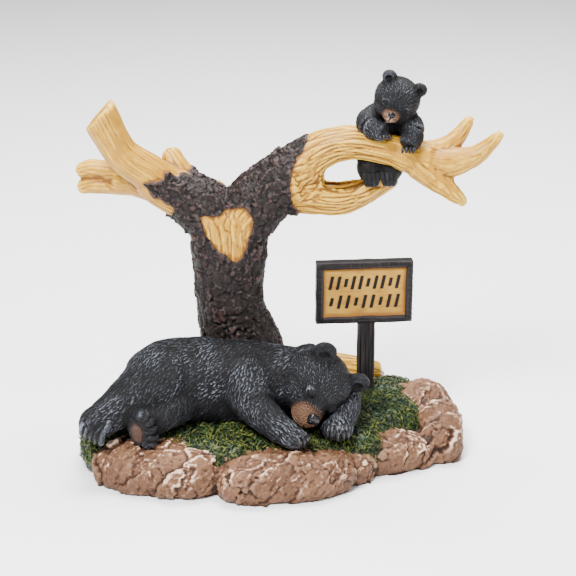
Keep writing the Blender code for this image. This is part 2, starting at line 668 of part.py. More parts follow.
def stroke_boxes(bm, panel_y, inner_x, middle_z):
    """Two rows of slanted strokes, sunk in the panel where a text would stand."""
    row_pitch = STROKE_HEIGHT + STROKE_GAP
    for row, count in STROKE_ROWS:
        pitch = inner_x * 1.8 / count
        row_z = middle_z + row * row_pitch
        for k in range(count):
            x = (k - (count - 1) / 2) * pitch
            half = STROKE_HEIGHT / 2 * (0.62 if (k + count) % 3 == 0 else 1.0)
            verts = box(bm, (x - STROKE_WIDTH / 2, panel_y - 2 * STROKE_DEPTH, row_z - half),
                        (x + STROKE_WIDTH / 2, panel_y + STROKE_DEPTH, row_z + half))
            for vert in verts:
                vert.co.x += BOARD_SHIFT + (vert.co.z - row_z) * STROKE_LEAN


def make_sign(material):
    """Framed board on a grooved post, with strokes in place of a text."""
    foot = Vector((SIGN_X, SIGN_Y, GROUND_HEIGHT))
    low, high = BOARD_MIDDLE - BOARD_HEIGHT / 2, BOARD_MIDDLE + BOARD_HEIGHT / 2
    bm = bmesh.new()
    box(bm, (BOARD_SHIFT - BOARD_WIDTH / 2, -BOARD_THICKNESS / 2, low),
        (BOARD_SHIFT + BOARD_WIDTH / 2, BOARD_THICKNESS / 2, high))
    bmesh.ops.bevel(bm, geom=bm.edges[:], offset=BOARD_BEVEL, segments=2, affect="EDGES")
    sign = new_object("sign", mesh_from(bm, "sign"))

    bm = bmesh.new()
    inner_x = BOARD_WIDTH / 2 - FRAME_WIDTH
    verts = box(bm, (-inner_x, -BOARD_THICKNESS, low + FRAME_WIDTH),
                (inner_x, -BOARD_THICKNESS / 2 + PANEL_RECESS, high - FRAME_WIDTH))
    for vert in verts:
        if vert.co.y > -BOARD_THICKNESS * 0.75:
            vert.co.x *= 1.0 - PANEL_TAPER / inner_x
        vert.co.x += BOARD_SHIFT
    recess = cutter("panel_recess", mesh_from(bm, "panel_recess"))
    subtract(sign, recess)

    bm = bmesh.new()
    stroke_boxes(bm, -BOARD_THICKNESS / 2 + PANEL_RECESS, inner_x, BOARD_MIDDLE)
    strokes = cutter("panel_strokes", mesh_from(bm, "panel_strokes"))
    subtract(sign, strokes)

    bm = bmesh.new()
    bottom = -SOCKET_DEPTH
    top = low + FRAME_WIDTH * 0.5
    ring = [bm.verts.new((x, y, bottom)) for x, y in post_profile()]
    face = bm.faces.new(ring)
    made = bmesh.ops.extrude_face_region(bm, geom=[face])
    for item in made["geom"]:
        if isinstance(item, bmesh.types.BMVert):
            item.co.z = top
    bmesh.ops.recalc_face_normals(bm, faces=bm.faces)
    post = cutter("post", mesh_from(bm, "post"))
    join = sign.modifiers.new("Post", "BOOLEAN")
    join.operation = "UNION"
    join.object = post
    for piece in (sign, recess, strokes, post):
        piece.location = foot
        piece.rotation_euler = (0.0, 0.0, SIGN_TURN)
    sign.data.materials.append(material)
    return sign


def mesh_from(bm, name):
    """Turn a finished bmesh into a mesh."""
    mesh = bpy.data.meshes.new(name)
    bm.to_mesh(mesh)
    bm.free()
    return mesh


def cutter(name, mesh):
    """A hidden helper shape for a Boolean."""
    obj = new_object(name, mesh)
    obj.hide_render = True
    obj.display_type = "WIRE"
    return obj


def subtract(obj, tool):
    """Cut the tool's shape out of the object."""
    cut = obj.modifiers.new("Cut " + tool.name, "BOOLEAN")
    cut.operation = "DIFFERENCE"
    cut.object = tool


def seat_cutter(name, mesh):
    """The piece's own shape grown by the clearance, to sink its neighbour's seat."""
    tool = cutter(name, mesh)
    grow = tool.modifiers.new("Clearance", "DISPLACE")
    grow.mid_level = 0.0
    grow.strength = CLEARANCE
    return tool


def socket_cutter():
    """Square hole for the post, grown by the clearance all round and at the end."""
    bm = bmesh.new()
    box(bm, (-POST_WIDTH / 2 - CLEARANCE, -POST_DEPTH / 2 - CLEARANCE, -SOCKET_DEPTH - CLEARANCE),
        (POST_WIDTH / 2 + CLEARANCE, POST_DEPTH / 2 + CLEARANCE, GROUND_HEIGHT))
    tool = cutter("sign_socket", mesh_from(bm, "sign_socket"))
    tool.location = (SIGN_X, SIGN_Y, GROUND_HEIGHT)
    tool.rotation_euler = (0.0, 0.0, SIGN_TURN)
    return tool


def main():
    """Build the five pieces and cut their seats."""
    clear_scene()
    stone = paint("painted rock and grass", (0.42, 0.27, 0.18), 0.7)
    wood = paint("painted bark and bare wood", (0.30, 0.21, 0.14), 0.6)
    fur = paint("painted black fur", (0.02, 0.02, 0.024), 0.45)
    cub_fur = paint("painted cub fur", (0.03, 0.03, 0.034), 0.5)
    board = paint("painted sign wood", (0.06, 0.045, 0.035), 0.5)

    pieces = {}
    for name, mesh, material in (("tree", make_tree(), wood),
                                 ("sleeping_bear", make_bear(), fur),
                                 ("bear_cub", make_cub(), cub_fur),
                                 ("base", make_base(), stone)):
        mesh.name = name
        mesh.materials.clear()
        mesh.materials.append(material)
        pieces[name] = new_object(name, mesh)
    make_sign(board)

    tree_seat = seat_cutter("tree_seat", pieces["tree"].data)
    bear_seat = seat_cutter("bear_seat", pieces["sleeping_bear"].data)
    subtract(pieces["sleeping_bear"], tree_seat)
    subtract(pieces["bear_cub"], tree_seat)
    subtract(pieces["base"], tree_seat)
    subtract(pieces["base"], bear_seat)
    subtract(pieces["base"], socket_cutter())


main()
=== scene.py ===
"""Looks of the bear statue: carved fur, bark, bare wood, rocks, grass, cub and sign.

Shapes are worked out in millimetres along the frame's own axes, and scaled to metres when a
piece is finished. The limbs of the tree, the bear and the cub have the same stations as the
solids. The heads, rocks, grass and fallen branch have figures of their own here.
"""
import math

import bmesh
import bpy
import numpy as np
from mathutils import Matrix, Vector, bvhtree, kdtree, noise


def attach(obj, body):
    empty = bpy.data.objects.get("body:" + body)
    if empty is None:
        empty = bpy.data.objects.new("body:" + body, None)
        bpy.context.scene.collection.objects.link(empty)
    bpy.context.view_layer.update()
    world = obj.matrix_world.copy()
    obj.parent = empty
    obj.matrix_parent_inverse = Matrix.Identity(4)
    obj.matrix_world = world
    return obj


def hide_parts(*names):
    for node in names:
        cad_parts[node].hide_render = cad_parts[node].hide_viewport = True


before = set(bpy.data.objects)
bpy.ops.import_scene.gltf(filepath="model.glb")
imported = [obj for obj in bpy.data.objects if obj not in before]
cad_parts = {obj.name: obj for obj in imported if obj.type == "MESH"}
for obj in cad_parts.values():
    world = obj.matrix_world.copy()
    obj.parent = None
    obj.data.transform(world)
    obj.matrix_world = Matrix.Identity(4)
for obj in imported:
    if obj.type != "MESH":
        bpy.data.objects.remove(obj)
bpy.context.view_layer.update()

MM = 0.001
SOLIDS_OVER_GRASS = [
    bvhtree.BVHTree.FromPolygons([v.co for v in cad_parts[name].data.vertices],
                                 [p.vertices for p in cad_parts[name].data.polygons])
    for name in ("sleeping_bear", "tree", "sign")]
random_draws = np.random.default_rng(11)

# Tree limbs: x, y, z and radius of each station, from the thick end
TREE_LIMBS = {
    "trunk": [(-24, 22, 18, 27), (-25, 22, 40, 25.5), (-27, 22, 58, 20.8), (-30.4, 21, 69, 18.4),
        (-31.8, 20.5, 81, 17.8), (-32.2, 20, 98, 18.4), (-31.8, 20, 110, 20), (-32, 20, 123, 19)],
    "root_right": [(-15, 18, 49, 7.6), (-3, 15, 37, 8), (11, 12, 26, 7), (21, 10, 19, 4)],
    "root_left": [(-38, 24, 50, 12), (-50, 26, 34, 9), (-62, 28, 22, 5)],
    "root_back": [(-24, 32, 54, 10), (-20, 42, 34, 9), (-16, 50, 20, 5)],
    "left_limb": [(-34, 20, 120, 17), (-43, 20, 132, 15.5), (-54, 19.5, 140, 13.8),
        (-66, 18.5, 146, 12.2), (-74, 17, 153, 10.8)],
    "branch_a": [(-66, 18.5, 147, 11.5), (-74, 16, 154.5, 10.3), (-82, 14, 160.5, 9.8),
        (-88.5, 12, 167, 9.2), (-93.3, 10, 176.5, 9.4), (-97.4, 8.5, 186, 10), (-99.6, 7.6, 191, 10.2)],
    "branch_b": [(-62, 21, 141, 9), (-72, 23.5, 144.5, 8.8), (-82, 26.5, 147, 8.6), (-92, 29, 148, 8)],
    "lobe_upper": [(-86, 27.5, 149.5, 7), (-98, 30, 151.8, 5.6), (-108, 31, 152.4, 5),
        (-114, 31, 150.8, 3.4)],
    "lobe_lower": [(-86, 27.5, 144.5, 6.4), (-98, 30, 143.8, 5.4), (-107.4, 31, 143.2, 5),
        (-113.4, 31, 141.8, 3.6)],
    "stub_c": [(-52, 24, 143, 8), (-57.5, 27.5, 151, 6.8), (-61.5, 29.5, 157.5, 6.2),
        (-64, 31, 162, 5.2)],
    "stub_d": [(-47, 25, 134, 7), (-41.5, 32, 138.6, 5.8), (-37, 37.5, 140.2, 5.2)],
    "right_limb": [(-30, 20, 121, 17.5), (-22, 20, 131, 16.5), (-13, 20, 140.5, 15.5),
        (-4, 19.2, 147.5, 15.5), (5, 18.5, 151, 16.5)],
    "upper_branch": [(1, 18.5, 153, 14), (8, 18, 159, 12.6), (13, 18, 163.6, 11.2),
        (18.5, 17.5, 167.2, 10.4), (25, 17, 169.8, 9.8), (33, 16, 171.2, 9.4), (41, 16, 170.6, 8.8),
        (48.6, 15, 169, 8.6), (55.5, 15, 167.2, 8.6), (62, 14, 165, 9), (69, 14, 163, 9.4),
        (75, 13, 162, 9.4)],
    "lower_branch": [(0, 18.5, 146, 14), (8, 18.5, 143.6, 12.4), (18, 19.5, 141, 11.2),
        (28, 20.5, 140.2, 10.4), (36, 21.5, 141.6, 9.2), (44, 22.5, 144.6, 7.8), (51, 23.5, 147.6, 6.6),
        (57, 24.5, 150, 5.4)],
    "prong_1": [(73, 15, 164.5, 7.8), (80, 17, 166, 6.8), (86.2, 19, 169.2, 5.7), (91, 20.8, 174, 4.6),
        (94.8, 22.2, 179.2, 3.5), (97, 23, 183, 2.5)],
    "prong_2": [(72, 13, 161, 8.6), (83, 12, 160.8, 8.2), (91, 11, 162.4, 7.2), (98.5, 10, 165.6, 5.7),
        (105, 9, 170.8, 4.4), (109.3, 8, 175.8, 3.2), (111.4, 8, 178.6, 2.4)],
    "prong_3": [(69, 12.5, 160.5, 8.6), (76, 10.5, 155.2, 7.8), (82, 8.5, 150, 6.2), (87, 6.5, 146, 4.9),
        (91, 5, 143, 3.5), (93.4, 4.4, 140.2, 2.2)],
}
TRUNK_DEPTH = 0.86
TREE_BOTTOM = 21.5
BREAK_POINT = Vector((-98.6, 8, 188.6))
BREAK_NORMAL = Vector((-0.75, 0.0, 0.66)).normalized()
TROUGH_FROM = (12.0, 54.0)
TROUGH_HALF_WIDTH = 7.6
TROUGH_DEPTH = 6.0

# Where the bark ends, as x and z seen from the front
LEFT_BARK_EDGE = [(-46.5, 151.7), (-49.6, 154.0), (-54.9, 154.2), (-59.1, 153.7), (-62.6, 156.5),
    (-65.1, 156.5), (-66.0, 153.5), (-68.6, 152.2), (-72.9, 152.4), (-76.1, 151.9), (-74.5, 148.3),
    (-72.0, 145.0), (-67.8, 142.3), (-63.7, 139.2), (-60.6, 137.2), (-60.8, 134.4), (-62.6, 132.1),
    (-72.0, 128.0), (-140.0, 120.0), (-140.0, 210.0), (-46.0, 210.0)]
RIGHT_BARK_EDGE = [(10.1, 171.3), (7.9, 169.1), (5.8, 167.7), (4.7, 164.8), (3.1, 161.5), (2.1, 156.4),
    (1.6, 150.9), (1.1, 145.1), (2.7, 139.7), (5.3, 134.9), (8.0, 120.0), (140.0, 110.0), (140.0, 210.0),
    (12.0, 210.0)]
HEART_EDGE = [(-46.1, 132.8), (-43.9, 133.5), (-39.7, 133.0), (-36.0, 133.5), (-33.3, 136.3),
    (-29.6, 137.4), (-26.4, 138.5), (-23.8, 138.5), (-21.1, 136.9), (-19.6, 134.1), (-18.0, 129.7),
    (-19.7, 125.2), (-21.3, 120.7), (-21.8, 116.2), (-24.0, 111.7), (-27.3, 108.3), (-31.0, 110.0),
    (-33.1, 112.9), (-36.8, 114.5), (-40.5, 118.5), (-43.1, 121.8), (-45.1, 125.8)]

# Sleeping bear
BEAR_LIMBS = {
    "body": [(-80, -16, 42, 14), (-73, -15, 45.5, 19.5), (-63, -14, 47.2, 22.8), (-50, -13, 47.2, 23.6),
        (-36, -13, 46.5, 23.2), (-22, -13, 46, 23), (-10, -14, 46.5, 21), (2, -15, 47.5, 19),
        (12, -16, 49, 17)],
    "thigh": [(-48, -11, 50, 12), (-64, -16.5, 51.5, 18.4), (-72, -22, 47, 17.5), (-82, -28, 42.5, 14),
        (-91, -33, 38.5, 10.6), (-98, -36.5, 35, 9)],
    "foot": [(-96, -36, 35, 9), (-101.5, -38.5, 32.5, 8.6), (-102, -40, 29.5, 7)],
    "lower_leg": [(-46, -18, 40, 6), (-56, -25, 39.5, 9.6), (-66, -33, 36.5, 9), (-72, -38, 34.5, 8)],
    "shoulder": [(-24, -12, 53, 11), (-22, -19, 50.5, 16.2), (-20, -28, 46, 13.5), (-17, -35, 42, 10.5)],
    "foreleg": [(-20, -33.5, 42.5, 9.4), (-11, -39.5, 37, 8.4), (-5, -43.6, 32.8, 7.2),
        (1, -45.8, 30, 6.4)],
    "far_foreleg": [(31, -12, 38, 8), (32, -22, 36, 7), (30, -30, 33.5, 6.8), (26.5, -37, 30.5, 6.6)],
}
BODY_DEPTH = 0.8
BEAR_BALLS = {
    "sole": ((-76, -41.5, 31.8), (7.8, 6.6, 10.8), -10),
    "paw": ((2.0, -46.6, 29.0), (8.0, 7.2, 5.6), 8),
    "far_paw": ((26, -37.4, 29.8), (8.6, 7, 6), 0),
    "nape": ((11, -10, 61), (7, 6, 5.4), 0),
}
# Which way the hair lies on each limb
BEAR_HAIR = {"body": (-0.62, -0.15, -0.75), "thigh": (-0.62, -0.3, -0.72),
             "foot": (-0.35, -0.3, -0.85), "lower_leg": (-0.1, -0.5, -0.8),
             "shoulder": (-0.45, -0.3, -0.8), "foreleg": (0.7, -0.4, -0.55),
             "far_foreleg": (-0.05, -0.75, -0.6), "sole": (0.95, -0.1, 0.3),
             "paw": (0.9, -0.2, -0.4), "far_paw": (0.0, -0.4, -0.9), "nape": (-0.4, 0.4, 0.3)}
BEAR_HEAD = ((15.4, -20.5, 49.2), (-0.12, -0.890, -0.441), (0.775, -0.35, 0.525))
# In the head's own frame: across, up, forward; then the radii along the same three
BEAR_HEAD_SHAPES = {
    "skull": ((0, 0, 0), (19.4, 17.6, 17.4)),
    "cheeks": ((0, -4.4, 6.6), (17.6, 12.2, 13)),
    "brow": ((0, 3.8, 7.6), (14.2, 9.2, 10.6)),
    "muzzle": ((0, -4.0, 18.4), (8.7, 8.3, 9.4)),
    "chin": ((0, -7.0, 20), (5.8, 4.2, 6.2)),
    "bridge": ((0, 1.2, 14), (6.4, 5.6, 8.8)),
    "ear_far": ((14.2, 16.0, -3.2), (6.3, 6.5, 3.5)),
    "ear_near": ((-14.4, 16.0, -3.2), (6.3, 6.5, 3.5)),
}
BEAR_EYE = (8.0, 5.2, 16.6)
BEAR_NOSE = ((0, 1.6, 26.6), (3.6, 2.8, 2.5))

# Cub
CUB_LIMBS = {
    "body": [(49.2, 21, 152, 7), (49.2, 24.5, 160, 12.6), (50.2, 26.5, 170, 13.2), (52, 25.5, 180, 11.2),
        (55, 20, 190, 8.6)],
    "arm_left": [(50, 23, 184.5, 7), (43.6, 19.6, 182.4, 7), (42.6, 11.6, 181, 5.8), (49.6, 6, 179, 5)],
    "arm_right": [(57.5, 22, 184.5, 7), (63.4, 16, 182, 6.8), (65.6, 8.6, 177.6, 5.8),
        (62.8, 4.4, 172.8, 5.2)],
    "leg_left": [(45, 24, 162, 6.5), (43.6, 18, 156.4, 6.8), (44.2, 13.8, 152.4, 4.8)],
    "leg_right": [(54.6, 24, 162, 6.5), (54.6, 18, 156.6, 6.8), (53.6, 13.8, 152.6, 4.8)],
}
CUB_HAIR = {"body": (0.0, -0.2, -1.0), "arm_left": (0.5, -0.5, -0.6),
            "arm_right": (0.0, -0.4, -0.9), "leg_left": (0.0, -0.5, -0.85),
            "leg_right": (0.0, -0.5, -0.85)}
CUB_HEAD = ((57.2, 14.0, 195.6), (-0.23, -0.905, -0.36), (0.331, -0.422, 0.844))
CUB_HEAD_SHAPES = {
    "skull": ((0, 0, 0), (12.1, 11.3, 11.2)),
    "cheeks": ((0, -3.6, 3.5), (10.8, 7.6, 8)),
    "brow": ((0, 2.2, 5.2), (9.4, 5.4, 6.6)),
    "muzzle": ((0, -3.0, 10.4), (4.8, 4.5, 5.6)),
    "chin": ((0, -5.2, 10.8), (3.2, 2.5, 4.0)),
    "ear_far": ((8.6, 9.4, -1.5), (3.9, 4.1, 2.4)),
    "ear_near": ((-8.6, 9.4, -1.5), (3.9, 4.1, 2.4)),
}
CUB_EYE = (5.2, 2.0, 10.8)
CUB_NOSE = ((0, -0.4, 15.2), (2.0, 1.5, 1.4))

# Base: its middle and half sizes; rocks and grass are shares of them
BASE_MIDDLE = Vector((-1.5, -5.0, 0.0))
BASE_HALF = (98.0, 60.0)
ROCK_HEIGHT = 25.0
GROUND_HEIGHT = 26.5
ROCKS = [
    (-0.665, -0.56, 0.365, 0.38, -14, 0.92), (-0.90, -0.10, 0.15, 0.38, -24, 0.8),
    (0.0, -0.74, 0.385, 0.31, 12, 0.88), (0.60, -0.22, 0.25, 0.25, 24, 0.70),
    (0.86, 0.14, 0.14, 0.40, 0, 0.96), (0.76, 0.56, 0.20, 0.26, 30, 1.08),
    (0.44, 0.78, 0.30, 0.22, 8, 1.0), (0.0, 0.83, 0.28, 0.20, -4, 0.94),
    (-0.42, 0.76, 0.28, 0.24, -10, 1.02), (-0.78, 0.50, 0.24, 0.30, -38, 0.94),
    (0.37, -0.53, 0.12, 0.17, 20, 0.62),
]
FILL_UNDER_GRASS = [(-0.20, 0.02, 0.72, 0.76), (0.42, 0.24, 0.34, 0.42)]
GRASS_MOUNDS = [(-0.20, 0.02, 0.70, 0.76, 1.0), (0.42, 0.24, 0.34, 0.42, 1.0),
    (-0.28, -0.70, 0.085, 0.13, 0.9), (-0.98, -0.14, 0.135, 0.34, 0.94), (-0.90, 0.10, 0.14, 0.26, 1.12),
    (0.36, -0.36, 0.16, 0.17, 0.88), (0.62, 0.62, 0.16, 0.20, 1.0)]
FALLEN_BRANCH = {"log": [(-8, 43, 33, 9), (8, 45, 32.5, 8.6), (24, 46.5, 31, 7.8), (40, 48, 28.4, 7),
    (52, 49.5, 26, 5.6)]}

# Sign
SIGN_FOOT = Vector((43.3, 25.5, 26.5))
SIGN_TURN = math.radians(5.0)
BOARD_SIZE = (53.5, 6.4, 35.6)
BOARD_MIDDLE = 57.6
BOARD_FOOT = BOARD_MIDDLE - BOARD_SIZE[2] / 2
BOARD_SHIFT = -1.4
FRAME_WIDTH = 4.0
PANEL_RECESS = 1.1
POST_SIZE = (9.2, 7.0)
SOCKET_DEPTH = 8.0
STROKE_WIDTH = 1.8
STROKE_HEIGHT = 7.8
STROKE_LEAN = 0.2

# Most triangles a piece may keep; pieces not named here are light enough
TRIANGLES = {"carved_tree": 192000, "fallen_branch": 12000, "carved_bear": 192000,
             "bear_head": 100000, "bear_nose": 8000, "carved_cub": 86000, "cub_nose": 8000,
             "rock_rim": 132000, "moss_mound": 48000, "painted_sign": 44000}
GRAIN_STRETCH = np.array([1.0, 1.0, 0.09])
FAR_AWAY = 1e9
# Height of a lock that leaves the surface where it is, as a share of the highest
LOCK_LEVEL = 0.35
# Off the board's panel and its strokes, in millimetres
OFF_PANEL = -5.0
MOST_CROSSINGS = 20
RAY_NUDGE = 1e-5
CELL_KEY = 7.1
FLOOR_SIZE = 4.0

# Camera, and the soft boxes: place, size and power
CAMERA_AIM = Vector((0.0, 0.0, 0.095))
CAMERA_ELEVATION = math.radians(20.0)
CAMERA_DISTANCE = 0.9
CAMERA_LENS = 105.1
LIGHTS = {"key": ((-0.35, -0.70, 1.05), 0.40, 44.0), "fill": ((0.85, -0.55, 0.55), 0.6, 5.0),
          "top": ((0.1, 0.40, 1.25), 0.7, 52.0)}
SURROUND_STRENGTH = 0.32


# Shapes
def smooth_stations(stations, steps=6):
    """Catmull-Rom curve through stations of any number of values each."""
    points = np.array(stations, dtype=float)
    padded = np.vstack([2 * points[0] - points[1], points, 2 * points[-1] - points[-2]])
    curve = []
    for i in range(len(points) - 1):
        a, b, c, d = padded[i:i + 4]
        for k in range(steps):
            t = k / steps
            curve.append(0.5 * (2 * b + (c - a) * t + (2 * a - 5 * b + 4 * c - d) * t * t
                                + (3 * b - a - 3 * c + d) * t ** 3))
    curve.append(points[-1])
    return np.array(curve)


def add_limb(bm, stations, depth=1.0, sides=24, steps=6):
    """Loft a closed limb with round ends; depth squeezes its section along Y."""
    curve = smooth_stations(stations, steps)
    centres = [Vector(row[:3]) for row in curve]
    rings = []
    for i, centre in enumerate(centres):
        along = (centres[min(i + 1, len(centres) - 1)] - centres[max(i - 1, 0)]).normalized()
        reference = Vector((0, 1, 0)) if abs(along.y) < 0.8 else Vector((0, 0, 1))
        side = along.cross(reference).normalized()
        other = side.cross(along).normalized()
        ring = []
        for k in range(sides):
            angle = 2 * math.pi * k / sides
            offset = side * math.cos(angle) + other * math.sin(angle) * depth
            ring.append(bm.verts.new(centre + offset * curve[i, 3]))
        rings.append(ring)
    for low, high in zip(rings, rings[1:]):
        for k in range(sides):
            n = (k + 1) % sides
            bm.faces.new((low[k], low[n], high[n], high[k]))
    for ring, centre, inner in ((rings[0], centres[0], centres[1]),
                                (rings[-1], centres[-1], centres[-2])):
        tip = bm.verts.new(centre + (centre - inner).normalized() * curve[:, 3].min() * 0.5)
        for k in range(sides):
            bm.faces.new((ring[k], ring[(k + 1) % sides], tip))


def add_ball(bm, centre, radii, axes=None, power=2.0):
    """Add a ball with its own axes (columns) and radii; power over 2 makes it boxier."""
    made = bmesh.ops.create_uvsphere(bm, u_segments=32, v_segments=20, radius=1.0)
    turn = axes or Matrix.Identity(3)
    for vert in made["verts"]:
        x, y, z = vert.co
        length = (abs(x) ** power + abs(y) ** power + abs(z) ** power) ** (1.0 / power)
        shaped = Vector((x * radii[0], y * radii[1], z * radii[2])) / max(length, 1e-9)
        vert.co = Vector(centre) + turn @ shaped


def add_box(bm, low, high):
    """Axis-aligned box between two corners."""
    made = bmesh.ops.create_cube(bm, size=1.0)
    for vert in made["verts"]:
        for i in range(3):
            vert.co[i] = low[i] if vert.co[i] < 0 else high[i]


class Head:
    """A head's own frame: places in it are given as across, up and forward."""

    def __init__(self, place):
        centre, forward, up = (Vector(item) for item in place)
        self.centre = centre
        self.forward = forward.normalized()
        self.up = (up - self.forward * up.dot(self.forward)).normalized()
        self.across = self.forward.cross(self.up)
        self.axes = Matrix((self.across, self.up, self.forward)).transposed()

    def at(self, across, up, forward):
        """The world point of a place in the head's frame."""
        return self.centre + self.axes @ Vector((across, up, forward))

    def local(self, points):
        """The places of many world points in the head's frame."""
        return (points - np.array(self.centre)) @ np.array(self.axes)


def mesh_of(bm, name):
    """A mesh made from the bmesh, which is freed."""
    mesh = bpy.data.meshes.new(name)
    bm.to_mesh(mesh)
    bm.free()
    return mesh


def new_object(name, mesh):
    """Link a new object that holds the mesh."""
    obj = bpy.data.objects.new(name, mesh)
    bpy.context.scene.collection.objects.link(obj)
    return obj


def evaluated(obj):
    """The object's mesh with its modifiers applied; the object itself goes."""
    depsgraph = bpy.context.evaluated_depsgraph_get()
    mesh = bpy.data.meshes.new_from_object(obj.evaluated_get(depsgraph), depsgraph=depsgraph)
    bpy.data.objects.remove(obj, do_unlink=True)
    return mesh


def one_skin(bm, voxel, smoothing):
    """One closed skin over the overlapping shells, softened where they meet."""
    bmesh.ops.recalc_face_normals(bm, faces=bm.faces)
    obj = new_object("shells", mesh_of(bm, "shells"))
    skin = obj.modifiers.new("Skin", "REMESH")
    skin.mode = "VOXEL"
    skin.voxel_size = voxel
    soft = obj.modifiers.new("Soft", "SMOOTH")
    soft.factor = 0.5
    soft.iterations = smoothing
    return evaluated(obj)


def skin_with(mesh, limbs, voxel, smoothing):
    """A finer skin over a softened body and the small limbs added to it."""
    bm = bmesh.new()
    bm.from_mesh(mesh)
    for stations in limbs:
        add_limb(bm, stations, sides=12, steps=4)
    return one_skin(bm, voxel, smoothing)


def reduced(mesh, triangles):
    """Collapse the smoothest places until about that many triangles are left."""
    mesh.calc_loop_triangles()
    ratio = triangles / max(1, len(mesh.loop_triangles))
    if ratio >= 1.0:
        return mesh
    obj = new_object("dense", mesh)
    collapse = obj.modifiers.new("Collapse", "DECIMATE")
    collapse.ratio = ratio
    return evaluated(obj)


# Points of a mesh as arrays
def points_of(mesh):
    """All vertex places as rows."""
    flat = np.empty(len(mesh.vertices) * 3)
    mesh.vertices.foreach_get("co", flat)
    return flat.reshape(-1, 3)


def normals_of(mesh):
    """All vertex normals as rows."""
    flat = np.empty(len(mesh.vertices) * 3)
    mesh.vertices.foreach_get("normal", flat)
    return flat.reshape(-1, 3)


def move_points(mesh, points):
    """Write the vertex places back."""
    mesh.vertices.foreach_set("co", points.ravel())
    mesh.update()


def raise_by(mesh, heights):
    """Move each vertex along its normal."""
    move_points(mesh, points_of(mesh) + normals_of(mesh) * heights[:, None])


def store(mesh, name, values):
    """Keep a value for each vertex, for the material to read."""
    attribute = mesh.attributes.new(name, "FLOAT", "POINT")
    attribute.data.foreach_set("value", np.asarray(values, dtype=np.float32))


def store_vector(mesh, name, rows):
    """Keep a vector for each vertex, for the material to read."""
    attribute = mesh.attributes.new(name, "FLOAT_VECTOR", "POINT")
    attribute.data.foreach_set("vector", np.asarray(rows, dtype=np.float32).ravel())


def neighbour_mean(mesh, values, rounds):
    """Each vertex's value averaged with its neighbours', again and again."""
    ends = np.empty(len(mesh.edges) * 2, dtype=np.int64)
    mesh.edges.foreach_get("vertices", ends)
    first, second = ends[::2], ends[1::2]
    count = len(mesh.vertices)
    degree = np.bincount(first, minlength=count) + np.bincount(second, minlength=count) + 1.0
    for _ in range(rounds):
        summed = values.copy()
        for k in range(values.shape[1]):
            summed[:, k] += np.bincount(first, values[second, k], count)
            summed[:, k] += np.bincount(second, values[first, k], count)
        values = summed / degree[:, None]
    return values


def store_relief(mesh, fine=6, broad=40):
    """How far each vertex stands above its surroundings, near by and further off."""
    points, normals = points_of(mesh), normals_of(mesh)
    near = neighbour_mean(mesh, points, fine)
    far = neighbour_mean(mesh, near, broad)
    store(mesh, "relief", ((points - near) * normals).sum(1))
    store(mesh, "hollow", ((near - far) * normals).sum(1))


# Patterns
def noise_at(points, size, seed=0.0):
    """Smooth noise from -1 to 1 with features of about the given size."""
    shift = Vector((seed * 17.3, seed * 5.1, seed * 9.7))
    return np.array([noise.noise(Vector(p) + shift) for p in points / size])


def noises_at(points, size, seed):
    """Three noises side by side, to push points about with."""
    return np.column_stack([noise_at(points, size, seed + k) for k in range(3)])


def ridges_at(points, size, seed=0.0):
    """Sharp-crested noise from 0 in the furrows to 1 on the ridges."""
    return 1.0 - np.minimum(1.0, np.abs(noise_at(points, size, seed)) * 2.4)


def cells_at(points, size, seed=0.0):
    """Gap to the nearest crack between cells, then a tone and a tilt of each cell's own."""
    shift = Vector((seed * 3.7, seed * 8.9, seed * 1.3))
    rows = np.empty((len(points), 3))
    for row, p in zip(rows, points / size):
        place = Vector(p) + shift
        distances, centres = noise.voronoi(place)
        key = centres[0] * CELL_KEY
        lean = noise.cell_vector(key) * 2.0 - Vector((1.0, 1.0, 1.0))
        row[:] = (distances[1] - distances[0], noise.cell(key), (place - centres[0]).dot(lean))
    return rows.T


def smooth_step(low, high, values):
    """0 below low, 1 above high, with a soft ramp between."""
    t = np.clip((values - low) / (high - low), 0.0, 1.0)
    return t * t * (3 - 2 * t)


def edge_distance(x, z, outline):
    """Signed distance to a closed outline, over 0 inside it."""
    inside = np.zeros(len(x), dtype=bool)
    nearest = np.full(len(x), FAR_AWAY)
    rows = np.array(outline)
    for (x1, z1), (x2, z2) in zip(rows, np.roll(rows, -1, axis=0)):
        dx, dz = x2 - x1, z2 - z1
        t = np.clip(((x - x1) * dx + (z - z1) * dz) / (dx * dx + dz * dz), 0.0, 1.0)
        nearest = np.minimum(nearest, np.hypot(x - x1 - t * dx, z - z1 - t * dz))
        if dz != 0:
            inside ^= ((z1 > z) != (z2 > z)) & (x < x1 + (z - z1) * dx / dz)
    return np.where(inside, nearest, -nearest)


def groove_at(points, route, width):
    """1 on a route through the given points, falling to 0 at the width."""
    nearest = np.full(len(points), FAR_AWAY)
    rows = [np.array(p) for p in route]
    for a, b in zip(rows, rows[1:]):
        run = b - a
        t = np.clip((points - a) @ run / (run @ run), 0.0, 1.0)
        nearest = np.minimum(nearest, np.linalg.norm(points - a - t[:, None] * run, axis=1))
    return 1.0 - smooth_step(0.0, width, nearest)


